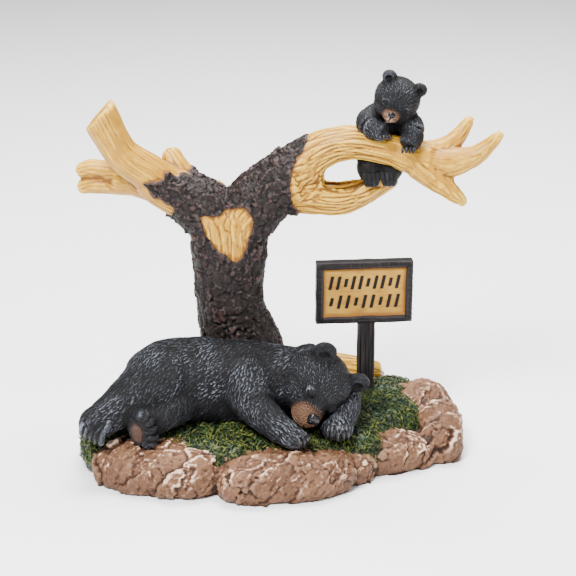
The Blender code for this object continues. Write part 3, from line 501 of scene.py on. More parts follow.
def limb_places(limbs, points):
    """For each limb: how many radii away each point is, and its place round and along it."""
    found = []
    for stations in limbs.values():
        curve = smooth_stations(stations, 8)
        centres, radii = curve[:, :3], curve[:, 3]
        steps = np.linalg.norm(np.diff(centres, axis=0), axis=1)
        lengths = np.concatenate([[0.0], np.cumsum(steps)])
        along = np.gradient(centres, axis=0)
        along /= np.linalg.norm(along, axis=1)[:, None]
        side = np.cross(along[0], (0.0, 1.0, 0.12))
        sides = []
        for row in along:
            side = side - row * (side @ row)
            side = side / np.linalg.norm(side)
            sides.append(side)
        sides = np.array(sides)
        others = np.cross(along, sides)
        squares = (centres ** 2).sum(1)[None, :] - 2 * points @ centres.T
        best = np.argmin(squares, axis=1)
        offset = points - centres[best]
        run = (offset * along[best]).sum(1)
        local = np.column_stack([(offset * sides[best]).sum(1), (offset * others[best]).sum(1),
                                 lengths[best] + run])
        away = np.linalg.norm(offset, axis=1) / radii[best]
        found.append((away, local))
    return found


def scattered(points, pitch, sizes=None):
    """Indices of points about a pitch apart, one from each little cell."""
    order = random_draws.permutation(len(points))
    spacing = pitch if sizes is None else pitch * (np.round(sizes[order] * 4) / 4)[:, None]
    keys = np.floor(points[order] / spacing).astype(np.int64)
    label = (keys[:, 0] * 73856093) ^ (keys[:, 1] * 19349663) ^ (keys[:, 2] * 83492791)
    _, first = np.unique(label, return_index=True)
    return order[np.sort(first)]


class Locks:
    """Locks combed over a surface: how high, which tone and where within its lock each point is."""

    def __init__(self, points, normals):
        self.points = points
        self.normals = normals
        self.height = np.zeros(len(points))
        self.tone = np.zeros(len(points))
        self.strand = np.zeros((len(points), 3))
        self.tree = kdtree.KDTree(len(points))
        for index, point in enumerate(points):
            self.tree.insert(point, index)
        self.tree.balance()

    def comb(self, flow, pitch, length, width, wander=0.25, sizes=None, where=None):
        """Lay one lock at each seed, overlapping its neighbours along the flow."""
        size = np.ones(len(self.points)) if sizes is None else sizes
        seeds = scattered(self.points, pitch, sizes)
        if where is not None:
            seeds = seeds[where[seeds]]
        for seed in seeds:
            self.lay(seed, flow[seed], length * size[seed] * random_draws.uniform(0.7, 1.3),
                     width * size[seed] * random_draws.uniform(0.8, 1.25), wander)

    def lay(self, seed, flow, length, width, wander):
        """Raise one drop-shaped lock."""
        normal = self.normals[seed]
        forward = flow - normal * (flow @ normal)
        forward /= np.linalg.norm(forward) + 1e-9
        side = np.cross(normal, forward)
        turn = random_draws.normal(0.0, wander)
        forward, side = (forward * math.cos(turn) + side * math.sin(turn),
                         side * math.cos(turn) - forward * math.sin(turn))
        curl = random_draws.normal(0.0, 1.1)
        level = random_draws.uniform(0.7, 1.0)
        hits = self.tree.find_range(self.points[seed], length * 0.55 + width)
        rows = np.fromiter((hit[1] for hit in hits), dtype=np.int64, count=len(hits))
        rows = rows[self.normals[rows] @ normal > 0.25]
        offset = self.points[rows] - self.points[seed]
        t = offset @ forward / length + 0.5
        c = offset @ side * (2.0 / width) + curl * (4.0 * (t - 0.5) ** 2 - 0.3)
        taper = smooth_step(0.0, 0.28, t) * (1.0 - 0.9 * smooth_step(0.45, 1.0, t))
        inside = (t > 0.0) & (t < 1.0) & (np.abs(c) < taper)
        rows, t, c, taper = rows[inside], t[inside], c[inside], taper[inside]
        rise = np.sqrt(1.0 - (c / taper) ** 2) * (0.55 + 0.45 * t) * level * np.minimum(1.0, taper * 2.2)
        better = rise > self.height[rows]
        rows = rows[better]
        self.height[rows] = rise[better]
        self.tone[rows] = level
        self.strand[rows, 0] = c[better] * width * 0.5
        self.strand[rows, 1] = t[better] * length * 0.12
        self.strand[rows, 2] = level * 40.0


# Materials
class Finish:
    """Node material painted in layers over a ground colour."""

    def __init__(self, name, colour, roughness, specular=0.5):
        self.material = bpy.data.materials.new(name)
        self.material.use_nodes = True
        self.tree = self.material.node_tree
        self.shader = self.tree.nodes["Principled BSDF"]
        self.colour = (*colour, 1.0)
        for key, value in (("Specular IOR Level", specular), ("Roughness", roughness),
                           ("Base Color", self.colour)):
            self.shader.inputs[key].default_value = value
        self.place = self.node("ShaderNodeTexCoord").outputs["Object"]

    def node(self, kind, inputs=None, **settings):
        """Add a node, set its own properties and feed its inputs."""
        made = self.tree.nodes.new(kind)
        for key, value in settings.items():
            setattr(made, key, value)
        for key, value in (inputs or {}).items():
            self.feed(made.inputs[key], value)
        return made

    def feed(self, socket, value):
        """Link a socket, or set a plain value."""
        if isinstance(value, bpy.types.NodeSocket):
            self.tree.links.new(value, socket)
        else:
            socket.default_value = value

    def read(self, name, kind="Fac"):
        """A value or vector stored for each vertex."""
        return self.node("ShaderNodeAttribute", attribute_name=name).outputs[kind]

    def maths(self, operation, a, b):
        """One Math node."""
        return self.node("ShaderNodeMath", {0: a, 1: b}, operation=operation).outputs[0]

    def times(self, a, b):
        """One value times another."""
        return self.maths("MULTIPLY", a, b)

    def noise(self, size, detail=3.0, roughness=0.55, vector=None, stretch=None):
        """Noise with features of about the size in millimetres."""
        vector = vector or self.place
        if stretch:
            mapping = self.node("ShaderNodeMapping", {"Vector": vector, "Scale": stretch})
            vector = mapping.outputs["Vector"]
        made = self.node("ShaderNodeTexNoise", {"Vector": vector, "Scale": 1.0 / (size * MM),
                                                "Detail": detail, "Roughness": roughness})
        return made.outputs["Fac"]

    def ramp(self, value, low, high, out_low=0.0, out_high=1.0):
        """A soft ramp between two values."""
        made = self.node("ShaderNodeMapRange",
                         {"Value": value, "From Min": low, "From Max": high,
                          "To Min": out_low, "To Max": out_high},
                         interpolation_type="SMOOTHSTEP", clamp=True)
        return made.outputs["Result"]

    def layer(self, cover, colour):
        """Paint another colour over what is there."""
        above = (*colour, 1.0) if isinstance(colour, tuple) else colour
        made = self.node("ShaderNodeMix", data_type="RGBA")
        for socket, value in zip((made.inputs["Factor"], made.inputs[6], made.inputs[7]),
                                 (cover, self.colour, above)):
            self.feed(socket, value)
        self.colour = made.outputs[2]
        self.feed(self.shader.inputs["Base Color"], self.colour)

    def coat(self, value, low, high, cover, colour):
        """Paint a colour where a value runs from low, none, to high, the full cover."""
        self.layer(self.ramp(value, low, high, 0.0, cover), colour)

    def gloss(self, value, low, high, rough_low, rough_high):
        """Roughness that follows a value."""
        self.feed(self.shader.inputs["Roughness"], self.ramp(value, low, high, rough_low, rough_high))

    def bump(self, height, distance, strength=1.0):
        """Fine bumps, their height in millimetres."""
        made = self.node("ShaderNodeBump", {"Height": height, "Distance": distance * MM,
                                            "Strength": strength})
        self.feed(self.shader.inputs["Normal"], made.outputs["Normal"])


def fur_finish(name, highlight):
    """Black fur with a blue-grey dry brush that is partly a painted sheen and highlight, brown paint
    where the masks say, and painted shade in the creases and hollows.
    """
    paint = Finish(name, (0.0024, 0.0024, 0.0030), 0.40, specular=0.18)
    relief, hollow = paint.read("relief"), paint.read("hollow")
    strand = paint.read("strand", "Vector")
    hairs = paint.noise(0.30, 2.0, vector=strand)
    patches = paint.ramp(paint.noise(15.0), 0.38, 0.62, 0.16, 1.0)
    patches = paint.times(patches, paint.ramp(paint.read("lid"), 0.0, 1.0, 1.0, 0.12))
    # Dry brush on the raised locks, partly a painted sheen; then paler tips, partly a painted highlight.
    raised = paint.ramp(relief, 0.0, 0.16)
    paint.layer(paint.times(raised, patches), (0.032, 0.033, 0.041))
    tips = paint.times(paint.ramp(relief, 0.03, 0.21), paint.ramp(hairs, 0.42, 0.62))
    paint.layer(paint.times(tips, patches), highlight)
    muzzle = paint.read("muzzle")
    paint.layer(muzzle, (0.024, 0.011, 0.0065))
    lit = paint.times(muzzle, paint.ramp(relief, -0.02, 0.10))
    paint.layer(lit, (0.175, 0.088, 0.047))
    pale = paint.times(muzzle, paint.ramp(relief, 0.06, 0.17))
    paint.layer(pale, (0.54, 0.39, 0.28))
    paint.layer(paint.read("pad"), (0.060, 0.030, 0.021))
    # Dark wash in the creases between locks, with painted shade there and in the broad hollows.
    paint.coat(relief, 0.0, -0.18, 0.95, (0.0010, 0.0010, 0.0012))
    paint.coat(hollow, -0.2, -1.2, 0.9, (0.0010, 0.0010, 0.0012))
    paint.layer(paint.read("ink"), (0.0012, 0.0012, 0.0015))
    paint.gloss(relief, -0.05, 0.2, 0.56, 0.27)
    paint.bump(hairs, 0.4, 0.8)
    return paint.material


def horn_finish(name, streak, roughness=0.27):
    """Glossy black nose and claws, with paler patches: a faint mottle on the nose, a painted highlight on
    the claws.
    """
    paint = Finish(name, (0.004, 0.004, 0.005), roughness, specular=0.32)
    paint.layer(paint.ramp(paint.noise(1.4), 0.5, 0.8, 0.0, 0.6), streak)
    paint.bump(paint.noise(0.6, 3.0), 0.08, 0.4)
    return paint.material


def tree_finish(name):
    """Dark plated bark beside bare yellow wood, with a painted shadow line on the wood where they meet.
    """
    paint = Finish(name, (0.38, 0.180, 0.011), 0.44, specular=0.22)
    relief, hollow = paint.read("relief"), paint.read("hollow")
    bark = paint.read("bark")
    grain = paint.read("grain", "Vector")
    fine = paint.noise(1.1, 3.0, vector=grain)
    paint.coat(paint.noise(9.0, 2.0), 0.35, 0.7, 0.8, (0.50, 0.265, 0.020))
    paint.coat(fine, 0.54, 0.74, 0.5, (0.20, 0.080, 0.007))
    coarse = paint.noise(2.6, 2.0, vector=grain)
    paint.coat(coarse, 0.58, 0.8, 0.5, (0.18, 0.066, 0.006))
    # Dark wash and painted shade in the recesses and broad hollows of the wood, then a painted highlight
    # on its raised grain.
    paint.coat(relief, -0.01, -0.14, 0.85, (0.13, 0.044, 0.005))
    paint.coat(hollow, -0.2, -1.2, 0.9, (0.085, 0.028, 0.004))
    paint.coat(relief, 0.04, 0.18, 0.75, (0.68, 0.43, 0.055))
    # Painted shadow line on the wood just outside the bark's edge.
    paint.coat(bark, -0.55, -0.12, 0.8, (0.070, 0.026, 0.008))
    on_bark = paint.ramp(bark, -0.1, 0.1)
    plate = paint.read("plate")
    ground = paint.colour
    paint.colour = (0.0085, 0.0046, 0.0042, 1.0)
    paint.coat(plate, 0.3, 0.9, 0.8, (0.025, 0.0118, 0.0100))
    reddish = paint.times(paint.ramp(paint.noise(17.0), 0.42, 0.62),
                          paint.ramp(plate, 0.45, 0.9))
    paint.layer(reddish, (0.052, 0.0195, 0.0145))
    paint.coat(relief, 0.12, 0.40, 0.5, (0.075, 0.046, 0.040))
    paint.coat(relief, 0.0, -0.2, 0.95, (0.002, 0.0014, 0.0014))
    bark_colour = paint.colour
    paint.colour = ground
    paint.layer(on_bark, bark_colour)
    rough = paint.maths("ADD", paint.ramp(on_bark, 0.0, 1.0, 0.40, 0.52),
                        paint.ramp(fine, 0.3, 0.7, -0.05, 0.08))
    paint.feed(paint.shader.inputs["Roughness"], rough)
    mixed = paint.node("ShaderNodeMix", data_type="FLOAT")
    paint.feed(mixed.inputs[0], on_bark)
    paint.feed(mixed.inputs[2], paint.times(fine, 0.6))
    paint.feed(mixed.inputs[3], paint.noise(1.4, 5.0))
    paint.bump(mixed.outputs[0], 0.6, 0.8)
    return paint.material


def rock_finish(name):
    """Brown stone with a whitish dry brush on its ridges and a darker foot."""
    paint = Finish(name, (0.105, 0.046, 0.022), 0.5, specular=0.24)
    grit = paint.maths("SUBTRACT", paint.noise(1.5, 6.0, 0.7), 0.5)
    relief = paint.maths("ADD", paint.read("relief"), paint.times(grit, 1.1))
    hollow = paint.read("hollow")
    paint.coat(paint.noise(12.0, 4.0), 0.38, 0.66, 1.0, (0.160, 0.076, 0.037))
    paint.coat(paint.noise(4.0, 5.0), 0.46, 0.74, 0.55, (0.058, 0.023, 0.011))
    # Dark wash and painted shade in the cracks and broad hollows.
    paint.coat(relief, -0.02, -0.34, 0.9, (0.030, 0.011, 0.0055))
    paint.coat(hollow, -0.25, -1.2, 0.95, (0.012, 0.005, 0.003))
    brush = paint.ramp(paint.noise(15.0, 3.0), 0.44, 0.62, 0.1, 1.0)
    brush = paint.times(brush, paint.ramp(paint.read("rise"), 4.0, 12.0, 0.2, 1.0))
    paint.layer(paint.times(paint.ramp(relief, 0.04, 0.32), brush), (0.27, 0.145, 0.083))
    streaks = paint.times(paint.ramp(relief, 0.22, 0.42), brush)
    paint.layer(streaks, (0.70, 0.50, 0.36))
    paint.coat(paint.read("rise"), 1.6, 0.5, 0.9, (0.020, 0.010, 0.007))
    paint.gloss(paint.noise(2.0), 0.3, 0.7, 0.42, 0.58)
    paint.bump(paint.noise(2.0, 6.0, 0.65), 1.2, 0.9)
    return paint.material


def grass_finish(name, tip_low, tip_high):
    """Dark green moss with yellow-green tips."""
    paint = Finish(name, (0.005, 0.014, 0.007), 0.42, specular=0.3)
    paint.coat(paint.noise(7.0), 0.4, 0.7, 1.0, (0.016, 0.036, 0.010))
    paint.coat(paint.noise(14.0), 0.5, 0.7, 0.7, (0.006, 0.024, 0.020))
    tip = paint.read("tip")
    patches = paint.ramp(paint.noise(20.0, 2.0), 0.34, 0.56, 0.3, 1.0)
    low = paint.times(paint.ramp(tip, tip_low, tip_high), patches)
    paint.layer(low, (0.145, 0.165, 0.024))
    high = paint.times(paint.ramp(tip, tip_high, tip_high + 0.35), patches)
    paint.layer(high, (0.44, 0.42, 0.07))
    paint.bump(paint.noise(0.8, 3.0), 0.25, 0.5)
    return paint.material


def sign_finish(name):
    """Near-black frame and post, an ochre panel and dark strokes."""
    paint = Finish(name, (0.006, 0.0048, 0.0050), 0.45, specular=0.14)
    relief = paint.read("relief")
    streaks = paint.noise(0.9, 4.0, stretch=(1.0, 1.0, 0.05))
    paint.coat(streaks, 0.50, 0.66, 0.85, (0.020, 0.015, 0.0138))
    # Painted highlight along the frame's raised edges and bevel; darker in its grooves.
    paint.coat(relief, 0.05, 0.17, 0.5, (0.038, 0.033, 0.034))
    paint.coat(relief, -0.01, -0.12, 0.95, (0.0018, 0.0014, 0.0014))
    frame_colour = paint.colour
    paint.colour = (0.33, 0.175, 0.024, 1.0)
    board_grain = paint.noise(1.5, 4.0, stretch=(0.08, 1.0, 1.0))
    paint.coat(board_grain, 0.45, 0.72, 0.7, (0.21, 0.095, 0.016))
    paint.coat(paint.noise(12.0), 0.4, 0.65, 0.6, (0.42, 0.24, 0.045))
    panel = paint.read("panel")
    paint.coat(panel, 2.4, 0.2, 0.9, (0.17, 0.062, 0.010))
    stroke = paint.read("stroke")
    paint.coat(stroke, -0.5, 0.0, 0.5, (0.16, 0.07, 0.015))
    paint.coat(stroke, -0.12, 0.12, 1.0, (0.006, 0.004, 0.0035))
    panel_colour = paint.colour
    paint.colour = frame_colour
    paint.coat(panel, -0.12, 0.12, 1.0, panel_colour)
    paint.gloss(streaks, 0.3, 0.7, 0.42, 0.56)
    paint.bump(streaks, 0.35, 0.6)
    return paint.material


def plain_floor_finish():
    """Pale matt floor, hardly mottled."""
    paint = Finish("pale_floor", (0.90, 0.90, 0.91), 0.7, specular=0.2)
    paint.coat(paint.noise(120.0), 0.3, 0.7, 0.3, (0.88, 0.88, 0.89))
    return paint.material


def finish_piece(name, mesh, material, node, place=Matrix.Identity(4)):
    """Cut the mesh to its budget, place it, scale it to metres and let it stand for the node."""
    if name in TRIANGLES:
        mesh = reduced(mesh, TRIANGLES[name])
    mesh.transform(place)
    mesh.transform(Matrix.Scale(MM, 4))
    mesh.polygons.foreach_set("use_smooth", [True] * len(mesh.polygons))
    mesh.materials.clear()
    mesh.materials.append(material)
    mesh.name = name
    obj = new_object(name, mesh)
    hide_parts(node)
    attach(obj, "root")


# Tree
def bark_distance(points):
    """How far inside the bark each point is, under 0 on bare wood."""
    x, y, z = points.T
    jag = noise_at(points, 4.0, 3.0) * 1.3 + noise_at(points, 1.6, 5.0) * 0.5
    left = edge_distance(x, z, LEFT_BARK_EDGE) + jag
    right = edge_distance(x, z, RIGHT_BARK_EDGE) + jag
    heart = edge_distance(x, z, HEART_EDGE) + jag * 0.5
    heart = np.where(y < 16.0, heart, -50.0)
    stub = np.minimum(np.minimum(y - 29.0, z - 132.0), -38.0 - x + 12.0) + jag
    bare = np.maximum(np.maximum(left, right), np.maximum(heart, stub))
    return -bare


def flatten_break(points):
    """Press what lies past the broken branch's slant back onto it."""
    past = (points - np.array(BREAK_POINT)) @ np.array(BREAK_NORMAL)
    past = np.where(points[:, 2] > 170.0, np.maximum(past, 0.0), 0.0)
    return points - past[:, None] * np.array(BREAK_NORMAL)


def sink_trough(points):
    """Lower the top of the lower branch onto a trough between two rims."""
    curve = smooth_stations(TREE_LIMBS["lower_branch"], 12)
    low, high = TROUGH_FROM
    x, y, z = points.T
    nearest = np.argmin(np.abs(curve[:, 0][None, :] - x[:, None]), axis=1)
    _, cy, cz, radius = curve[nearest].T
    across = (y - cy) / (TROUGH_HALF_WIDTH * radius / 10.4)
    fade = np.clip(np.minimum((x - low) / 8.0, (high - x) / 8.0), 0.0, 1.0)
    floor = cz + radius * 0.45 - TROUGH_DEPTH * fade * (1.0 - across ** 2)
    sunk = (x > low) & (x < high) & (z < 158.0) & (z > cz) & (np.abs(across) < 1.0)
    sunk &= (z > floor) & (z < cz + radius * 1.25)
    points[:, 2] = np.where(sunk, z + (floor - z) * fade, z)
    return points


def bark_plates(points, local):
    """Ragged overlapping flakes of bark with narrow cracks between them: height and tone."""
    warp = noises_at(points, 2.6, 21.0) + 0.5 * noises_at(points, 1.2, 26.0)
    drawn = local * np.array([1.0, 1.0, 0.66]) + warp * 1.1
    gaps, tones, leans = cells_at(drawn, 4.8, 1.0)
    small_gaps, small_tones, small_leans = cells_at(drawn * np.array([1.0, 1.0, 0.8]), 2.5, 4.0)
    height = smooth_step(0.0, 0.16, gaps) * (0.5 + 0.5 * tones) + leans * 1.3
    height += smooth_step(0.0, 0.12, small_gaps) * 0.2 + small_tones * 0.25 + small_leans * 0.8
    height += noise_at(points, 1.4, 6.0) * 0.15 + noise_at(points, 12.0, 7.0) * 0.7
    return height * 0.85 + 0.35, tones * 0.55 + small_tones * 0.45


def store_bark(mesh, bark, tones, local):
    """Keep what the material of bark and bare wood reads."""
    store(mesh, "bark", bark)
    store(mesh, "plate", tones)
    store_vector(mesh, "grain", local * GRAIN_STRETCH * MM)
    store_relief(mesh)


def blended_grain(found, weights, order, size, run, seed):
    """Noise drawn out along the limbs, faded from the nearest limb to the next."""
    total = np.zeros(len(weights))
    for rank in range(2):
        limb = order[:, rank]
        local = np.choose(limb[:, None], [item[1] for item in found])
        value = noise_at(local / np.array([size, size, run]), 1.0, seed)
        total += value * weights[np.arange(len(limb)), limb]
    return total


def make_tree():
    """Bark-covered trunk and limbs, bare broken branches, the loop and its prongs."""
    bm = bmesh.new()
    for name, stations in TREE_LIMBS.items():
        add_limb(bm, stations, depth=TRUNK_DEPTH if name == "trunk" else 1.0)
    mesh = one_skin(bm, voxel=0.8, smoothing=12)
    points = flatten_break(sink_trough(points_of(mesh)))
    points[:, 2] = np.maximum(points[:, 2], TREE_BOTTOM)
    move_points(mesh, points)
    mesh = skin_with(mesh, [], 0.62, 3)
    points = points_of(mesh)

    found = limb_places(TREE_LIMBS, points)
    away = np.column_stack([item[0] for item in found])
    order = np.argsort(away, axis=1)[:, :2]
    weights = np.exp(-14.0 * (away - away.min(axis=1)[:, None]))
    rest = np.take_along_axis(weights, order, axis=1).sum(1)
    weights /= rest[:, None]
    local = np.choose(order[:, :1], [item[1] for item in found])

    bark = bark_distance(points)
    plates, tones = bark_plates(points, local)
    edge = smooth_step(-0.25, 0.35, bark)
    coarse = blended_grain(found, weights, order, 2.7, 40.0, 2.0)
    fine = blended_grain(found, weights, order, 1.3, 22.0, 8.0)
    near_loop = smooth_step(-8.0, 20.0, points[:, 0]) * (1.0 - smooth_step(38.0, 66.0, points[:, 0]))
    heart = (points[:, 2] < 141.0) & (points[:, 0] < -15.0) & (points[:, 1] < 16.0)
    depth = np.where(heart, 0.5, 0.35 + 0.65 * near_loop)
    grooves = -np.clip(1.0 - np.abs(coarse) * 3.4, 0.0, 1.0) * 0.8 * depth
    grooves -= np.clip(1.0 - np.abs(fine) * 3.4, 0.0, 1.0) * 0.3 * depth
    wood = grooves * 1.15 + noise_at(points, 7.0, 9.0) * 0.35
    raise_by(mesh, wood * (1.0 - edge) + edge * plates)

    store_bark(mesh, bark, tones, local)
    finish_piece("carved_tree", mesh, tree_finish("bark_and_bare_wood"), "tree")


def make_fallen_branch():
    """Bare log behind the head, with a cap of bark on top."""
    bm = bmesh.new()
    add_limb(bm, FALLEN_BRANCH["log"])
    mesh = one_skin(bm, voxel=0.6, smoothing=6)
    points = points_of(mesh)
    local = limb_places(FALLEN_BRANCH, points)[0][1]
    coarse = noise_at(local / np.array([2.2, 2.2, 20.0]), 1.0, 2.0)
    bark = points[:, 2] - 37.5 + noise_at(points, 5.0, 3.0) * 2.5 - np.abs(points[:, 0] - 12.0) * 0.06
    plates, tones = bark_plates(points, local)
    edge = smooth_step(-0.25, 0.35, bark)
    wood = -np.clip(1.0 - np.abs(coarse) * 4.0, 0.0, 1.0) * 0.5
    raise_by(mesh, wood * (1.0 - edge) + edge * plates)
    store_bark(mesh, bark, tones, local)
    finish_piece("fallen_branch", mesh, tree_finish("fallen_bark_and_wood"), "base")


# Bears
def hair_flow(points, limbs, hair, balls):
    """Direction the hair lies in at every point, blended from limb to limb."""
    away = [item[0] for item in limb_places(limbs, points)]
    hints = [np.array(hair[name]) for name in limbs]
    for name, (centre, radii, _) in balls.items():
        away.append(np.linalg.norm((points - np.array(centre)) / np.array(radii), axis=1))
        hints.append(np.array(hair[name]))
    away = np.column_stack(away)
    weights = np.exp(-9.0 * (away - away.min(axis=1)[:, None]))
    weights /= weights.sum(1)[:, None]
    return weights @ np.array(hints) + noises_at(points, 11.0, 31.0) * 0.5


def radiating(points, head, whorl):
    """Hair that runs back from a place on the face."""
    away = points - np.array(head.at(*whorl))
    away /= np.linalg.norm(away, axis=1)[:, None]
    return away + np.array([0.0, 0.0, -0.2]) + noises_at(points, 8.0, 34.0) * 0.35


def ball_mask(own, centre, radii, low, high):
    """1 inside an egg-shaped region of the head's frame, fading to 0 outside."""
    away = np.linalg.norm((own - np.array(centre)) / np.array(radii), axis=1)
    return 1.0 - smooth_step(low, high, away)


def both_sides(own, centre, radii, low):
    """The mask of an egg on each side of the face, added up."""
    across, up, forward = centre
    return sum(ball_mask(own, (side * across, up, forward), radii, low, 1.0) for side in (-1, 1))


def taper(start, end, thick, bend=(0.0, 0.0, 0.0)):
    """Stations of a tapered lock of hair or a claw between two points."""
    start, end, bend = Vector(start), Vector(end), Vector(bend)
    middle = (start + end) / 2 + bend
    return [(*start, thick * 0.75), (*middle, thick), (*(end * 0.8 + middle * 0.2), thick * 0.62),
            (*end, thick * 0.22)]


def on_ball(name, direction, lift):
    """The point of a paw's surface in a direction, lifted off it a little."""
    centre, radii, turn = BEAR_BALLS[name]
    out = Vector(direction).normalized() * lift
    out = Vector((out.x * radii[0], out.y * radii[1], out.z * radii[2]))
    return Vector(centre) + Matrix.Rotation(math.radians(turn), 3, "Y") @ out


def toe_locks():
    """Thick locks that fan out over the toes of the hind feet."""
    locks = []
    for k in range(7):
        turn = math.radians(84 - 27 * k)
        out, up = math.cos(turn), math.sin(turn)
        locks.append(taper(on_ball("sole", (0.22 * out - 0.12, -0.86, 0.56 * up), 1.0),
                           on_ball("sole", (0.9 * out + 0.12, -0.42, 0.92 * up), 1.12), 1.75,
                           (0.5 * out, -1.3, 0.6 * up)))
    for k in range(5):
        locks.append(taper((-93.0 - 2.6 * k, -44.2 + 0.6 * k, 36.8 + 0.4 * k),
                           (-98.0 - 2.7 * k, -46.2 + 1.1 * k, 24.2 + 0.8 * k), 1.75,
                           (-1.2, -1.9, 0.6)))
    return locks


def claws():
    """Curved claws of the two front paws."""
    found = []
    for k in range(4):
        found.append(taper(on_ball("paw", (0.22 + 0.2 * k, -0.80 + 0.26 * k, 0.62), 0.98),
                           on_ball("paw", (0.52 + 0.2 * k, -0.78 + 0.26 * k, -0.5), 1.2), 1.15,
                           (1.2, -0.8, 1.1)))
    for k in range(5):
        across = 0.31 * (k - 2)
        found.append(taper(on_ball("far_paw", (across, -0.70, 0.62), 0.98),
                           on_ball("far_paw", (across * 1.1, -0.80, -0.62), 1.2), 1.2,
                           (0.0, -1.3, 0.8)))
    return found


def eye_routes(head, across, up, forward, width, drop):
    """The closed eye's lid line and the fold over it, as points on the face."""
    lid = []
    fold = []
    for k in range(7):
        share = k / 6 * 2 - 1
        sag = drop * (1 - share * share)
        back = forward - abs(share)
        lid.append(head.at(across + share * width, up - sag, back))
        fold.append(head.at(across + share * width * 1.1, up + sag * 1.3, back))
    return lid, fold


def fur_piece(mesh, locks, masks, name, material, node):
    """Finish a furry piece: its masks and then its relief are stored first."""
    store_vector(mesh, "strand", locks.strand * MM)
    for mask in ("muzzle", "pad", "lid", "ink"):
        store(mesh, mask, masks.get(mask, np.zeros(len(mesh.vertices))))
    store_relief(mesh)
    finish_piece(name, mesh, material, node)


def make_bear_body(head, fur_paint):
    """The lying body, its legs and paws, with a bare sole."""
    bm = bmesh.new()
    for name, stations in BEAR_LIMBS.items():
        add_limb(bm, stations, depth=BODY_DEPTH if name == "body" else 1.0)
    for centre, radii, turn in BEAR_BALLS.values():
        add_ball(bm, centre, radii, Matrix.Rotation(math.radians(turn), 3, "Y"))
    mesh = skin_with(one_skin(bm, voxel=1.1, smoothing=8), toe_locks(), 0.5, 5)
    points, normals = points_of(mesh), normals_of(mesh)
    flow = hair_flow(points, BEAR_LIMBS, BEAR_HAIR, BEAR_BALLS)
    sole = ball_mask(points, on_ball("sole", (-0.32, -0.94, 0.0), 1.0), (4.0, 6.0, 6.6), 0.7, 1.0)
    hidden = (points[:, 2] < 24.0) | (np.linalg.norm(points - np.array(head.centre), axis=1) < 15.0)
    locks = Locks(points, normals)
    locks.comb(flow, pitch=1.15, length=6.2, width=1.4, where=~hidden)
    height = (locks.height - LOCK_LEVEL) * 1.4 * (1.0 - sole) + noise_at(points, 9.0, 5.0) * 0.6
    raise_by(mesh, np.where(hidden, -0.2, height))
    toes = np.maximum(ball_mask(points, BEAR_BALLS["sole"][0], (14, 12, 16), 0.7, 1.0),
                      ball_mask(points, (-100, -39, 30), (10, 14, 12), 0.6, 1.0))
    masks = {"pad": sole, "lid": toes * 0.9}
    fur_piece(mesh, locks, masks, "carved_bear", fur_paint, "sleeping_bear")


def face_lines(points, head, eye, lips, mouth):
    """Depth of the closed eyes' and the mouth's grooves, and how much ink lies in them."""
    depth = np.zeros(len(points))
    ink = np.zeros(len(points))
    across, up, forward, width, drop = eye
    for side in (-1, 1):
        lid, fold = eye_routes(head, side * across, up, forward, width, drop)
        depth += groove_at(points, lid, width * 0.28) * 0.75 + groove_at(points, fold, width * 0.25) * 0.3
        ink = np.maximum(ink, groove_at(points, lid, width * 0.3))
        lip = [head.at(side * row[0], *row[1:]) for row in lips]
        depth += groove_at(points, lip, width * 0.26) * 0.6
        ink = np.maximum(ink, groove_at(points, lip, width * 0.22) * 0.85)
    split = [head.at(*row) for row in mouth]
    depth += groove_at(points, split, width * 0.24) * 0.5
    ink = np.maximum(ink, groove_at(points, split, width * 0.2) * 0.85)
    return depth, ink


def ear_cups(own, shapes, size):
    """1 in the hollow of each ear, 0 away from it; then 1 over all of both ears."""
    cups, ears = np.zeros(len(own)), np.zeros(len(own))
    for name in ("ear_far", "ear_near"):
        (across, up, forward), radii = shapes[name]
        centre = (across * 1.01, up * 1.02, forward + radii[2])
        hollow = ball_mask(own, centre, (radii[0] * size, radii[1] * size, radii[2]), 0.25, 1.0)
        cups = np.maximum(cups, hollow)
        ears = np.maximum(ears, ball_mask(own, shapes[name][0], [r * 1.5 for r in radii], 0.7, 1.0))
    return cups, ears


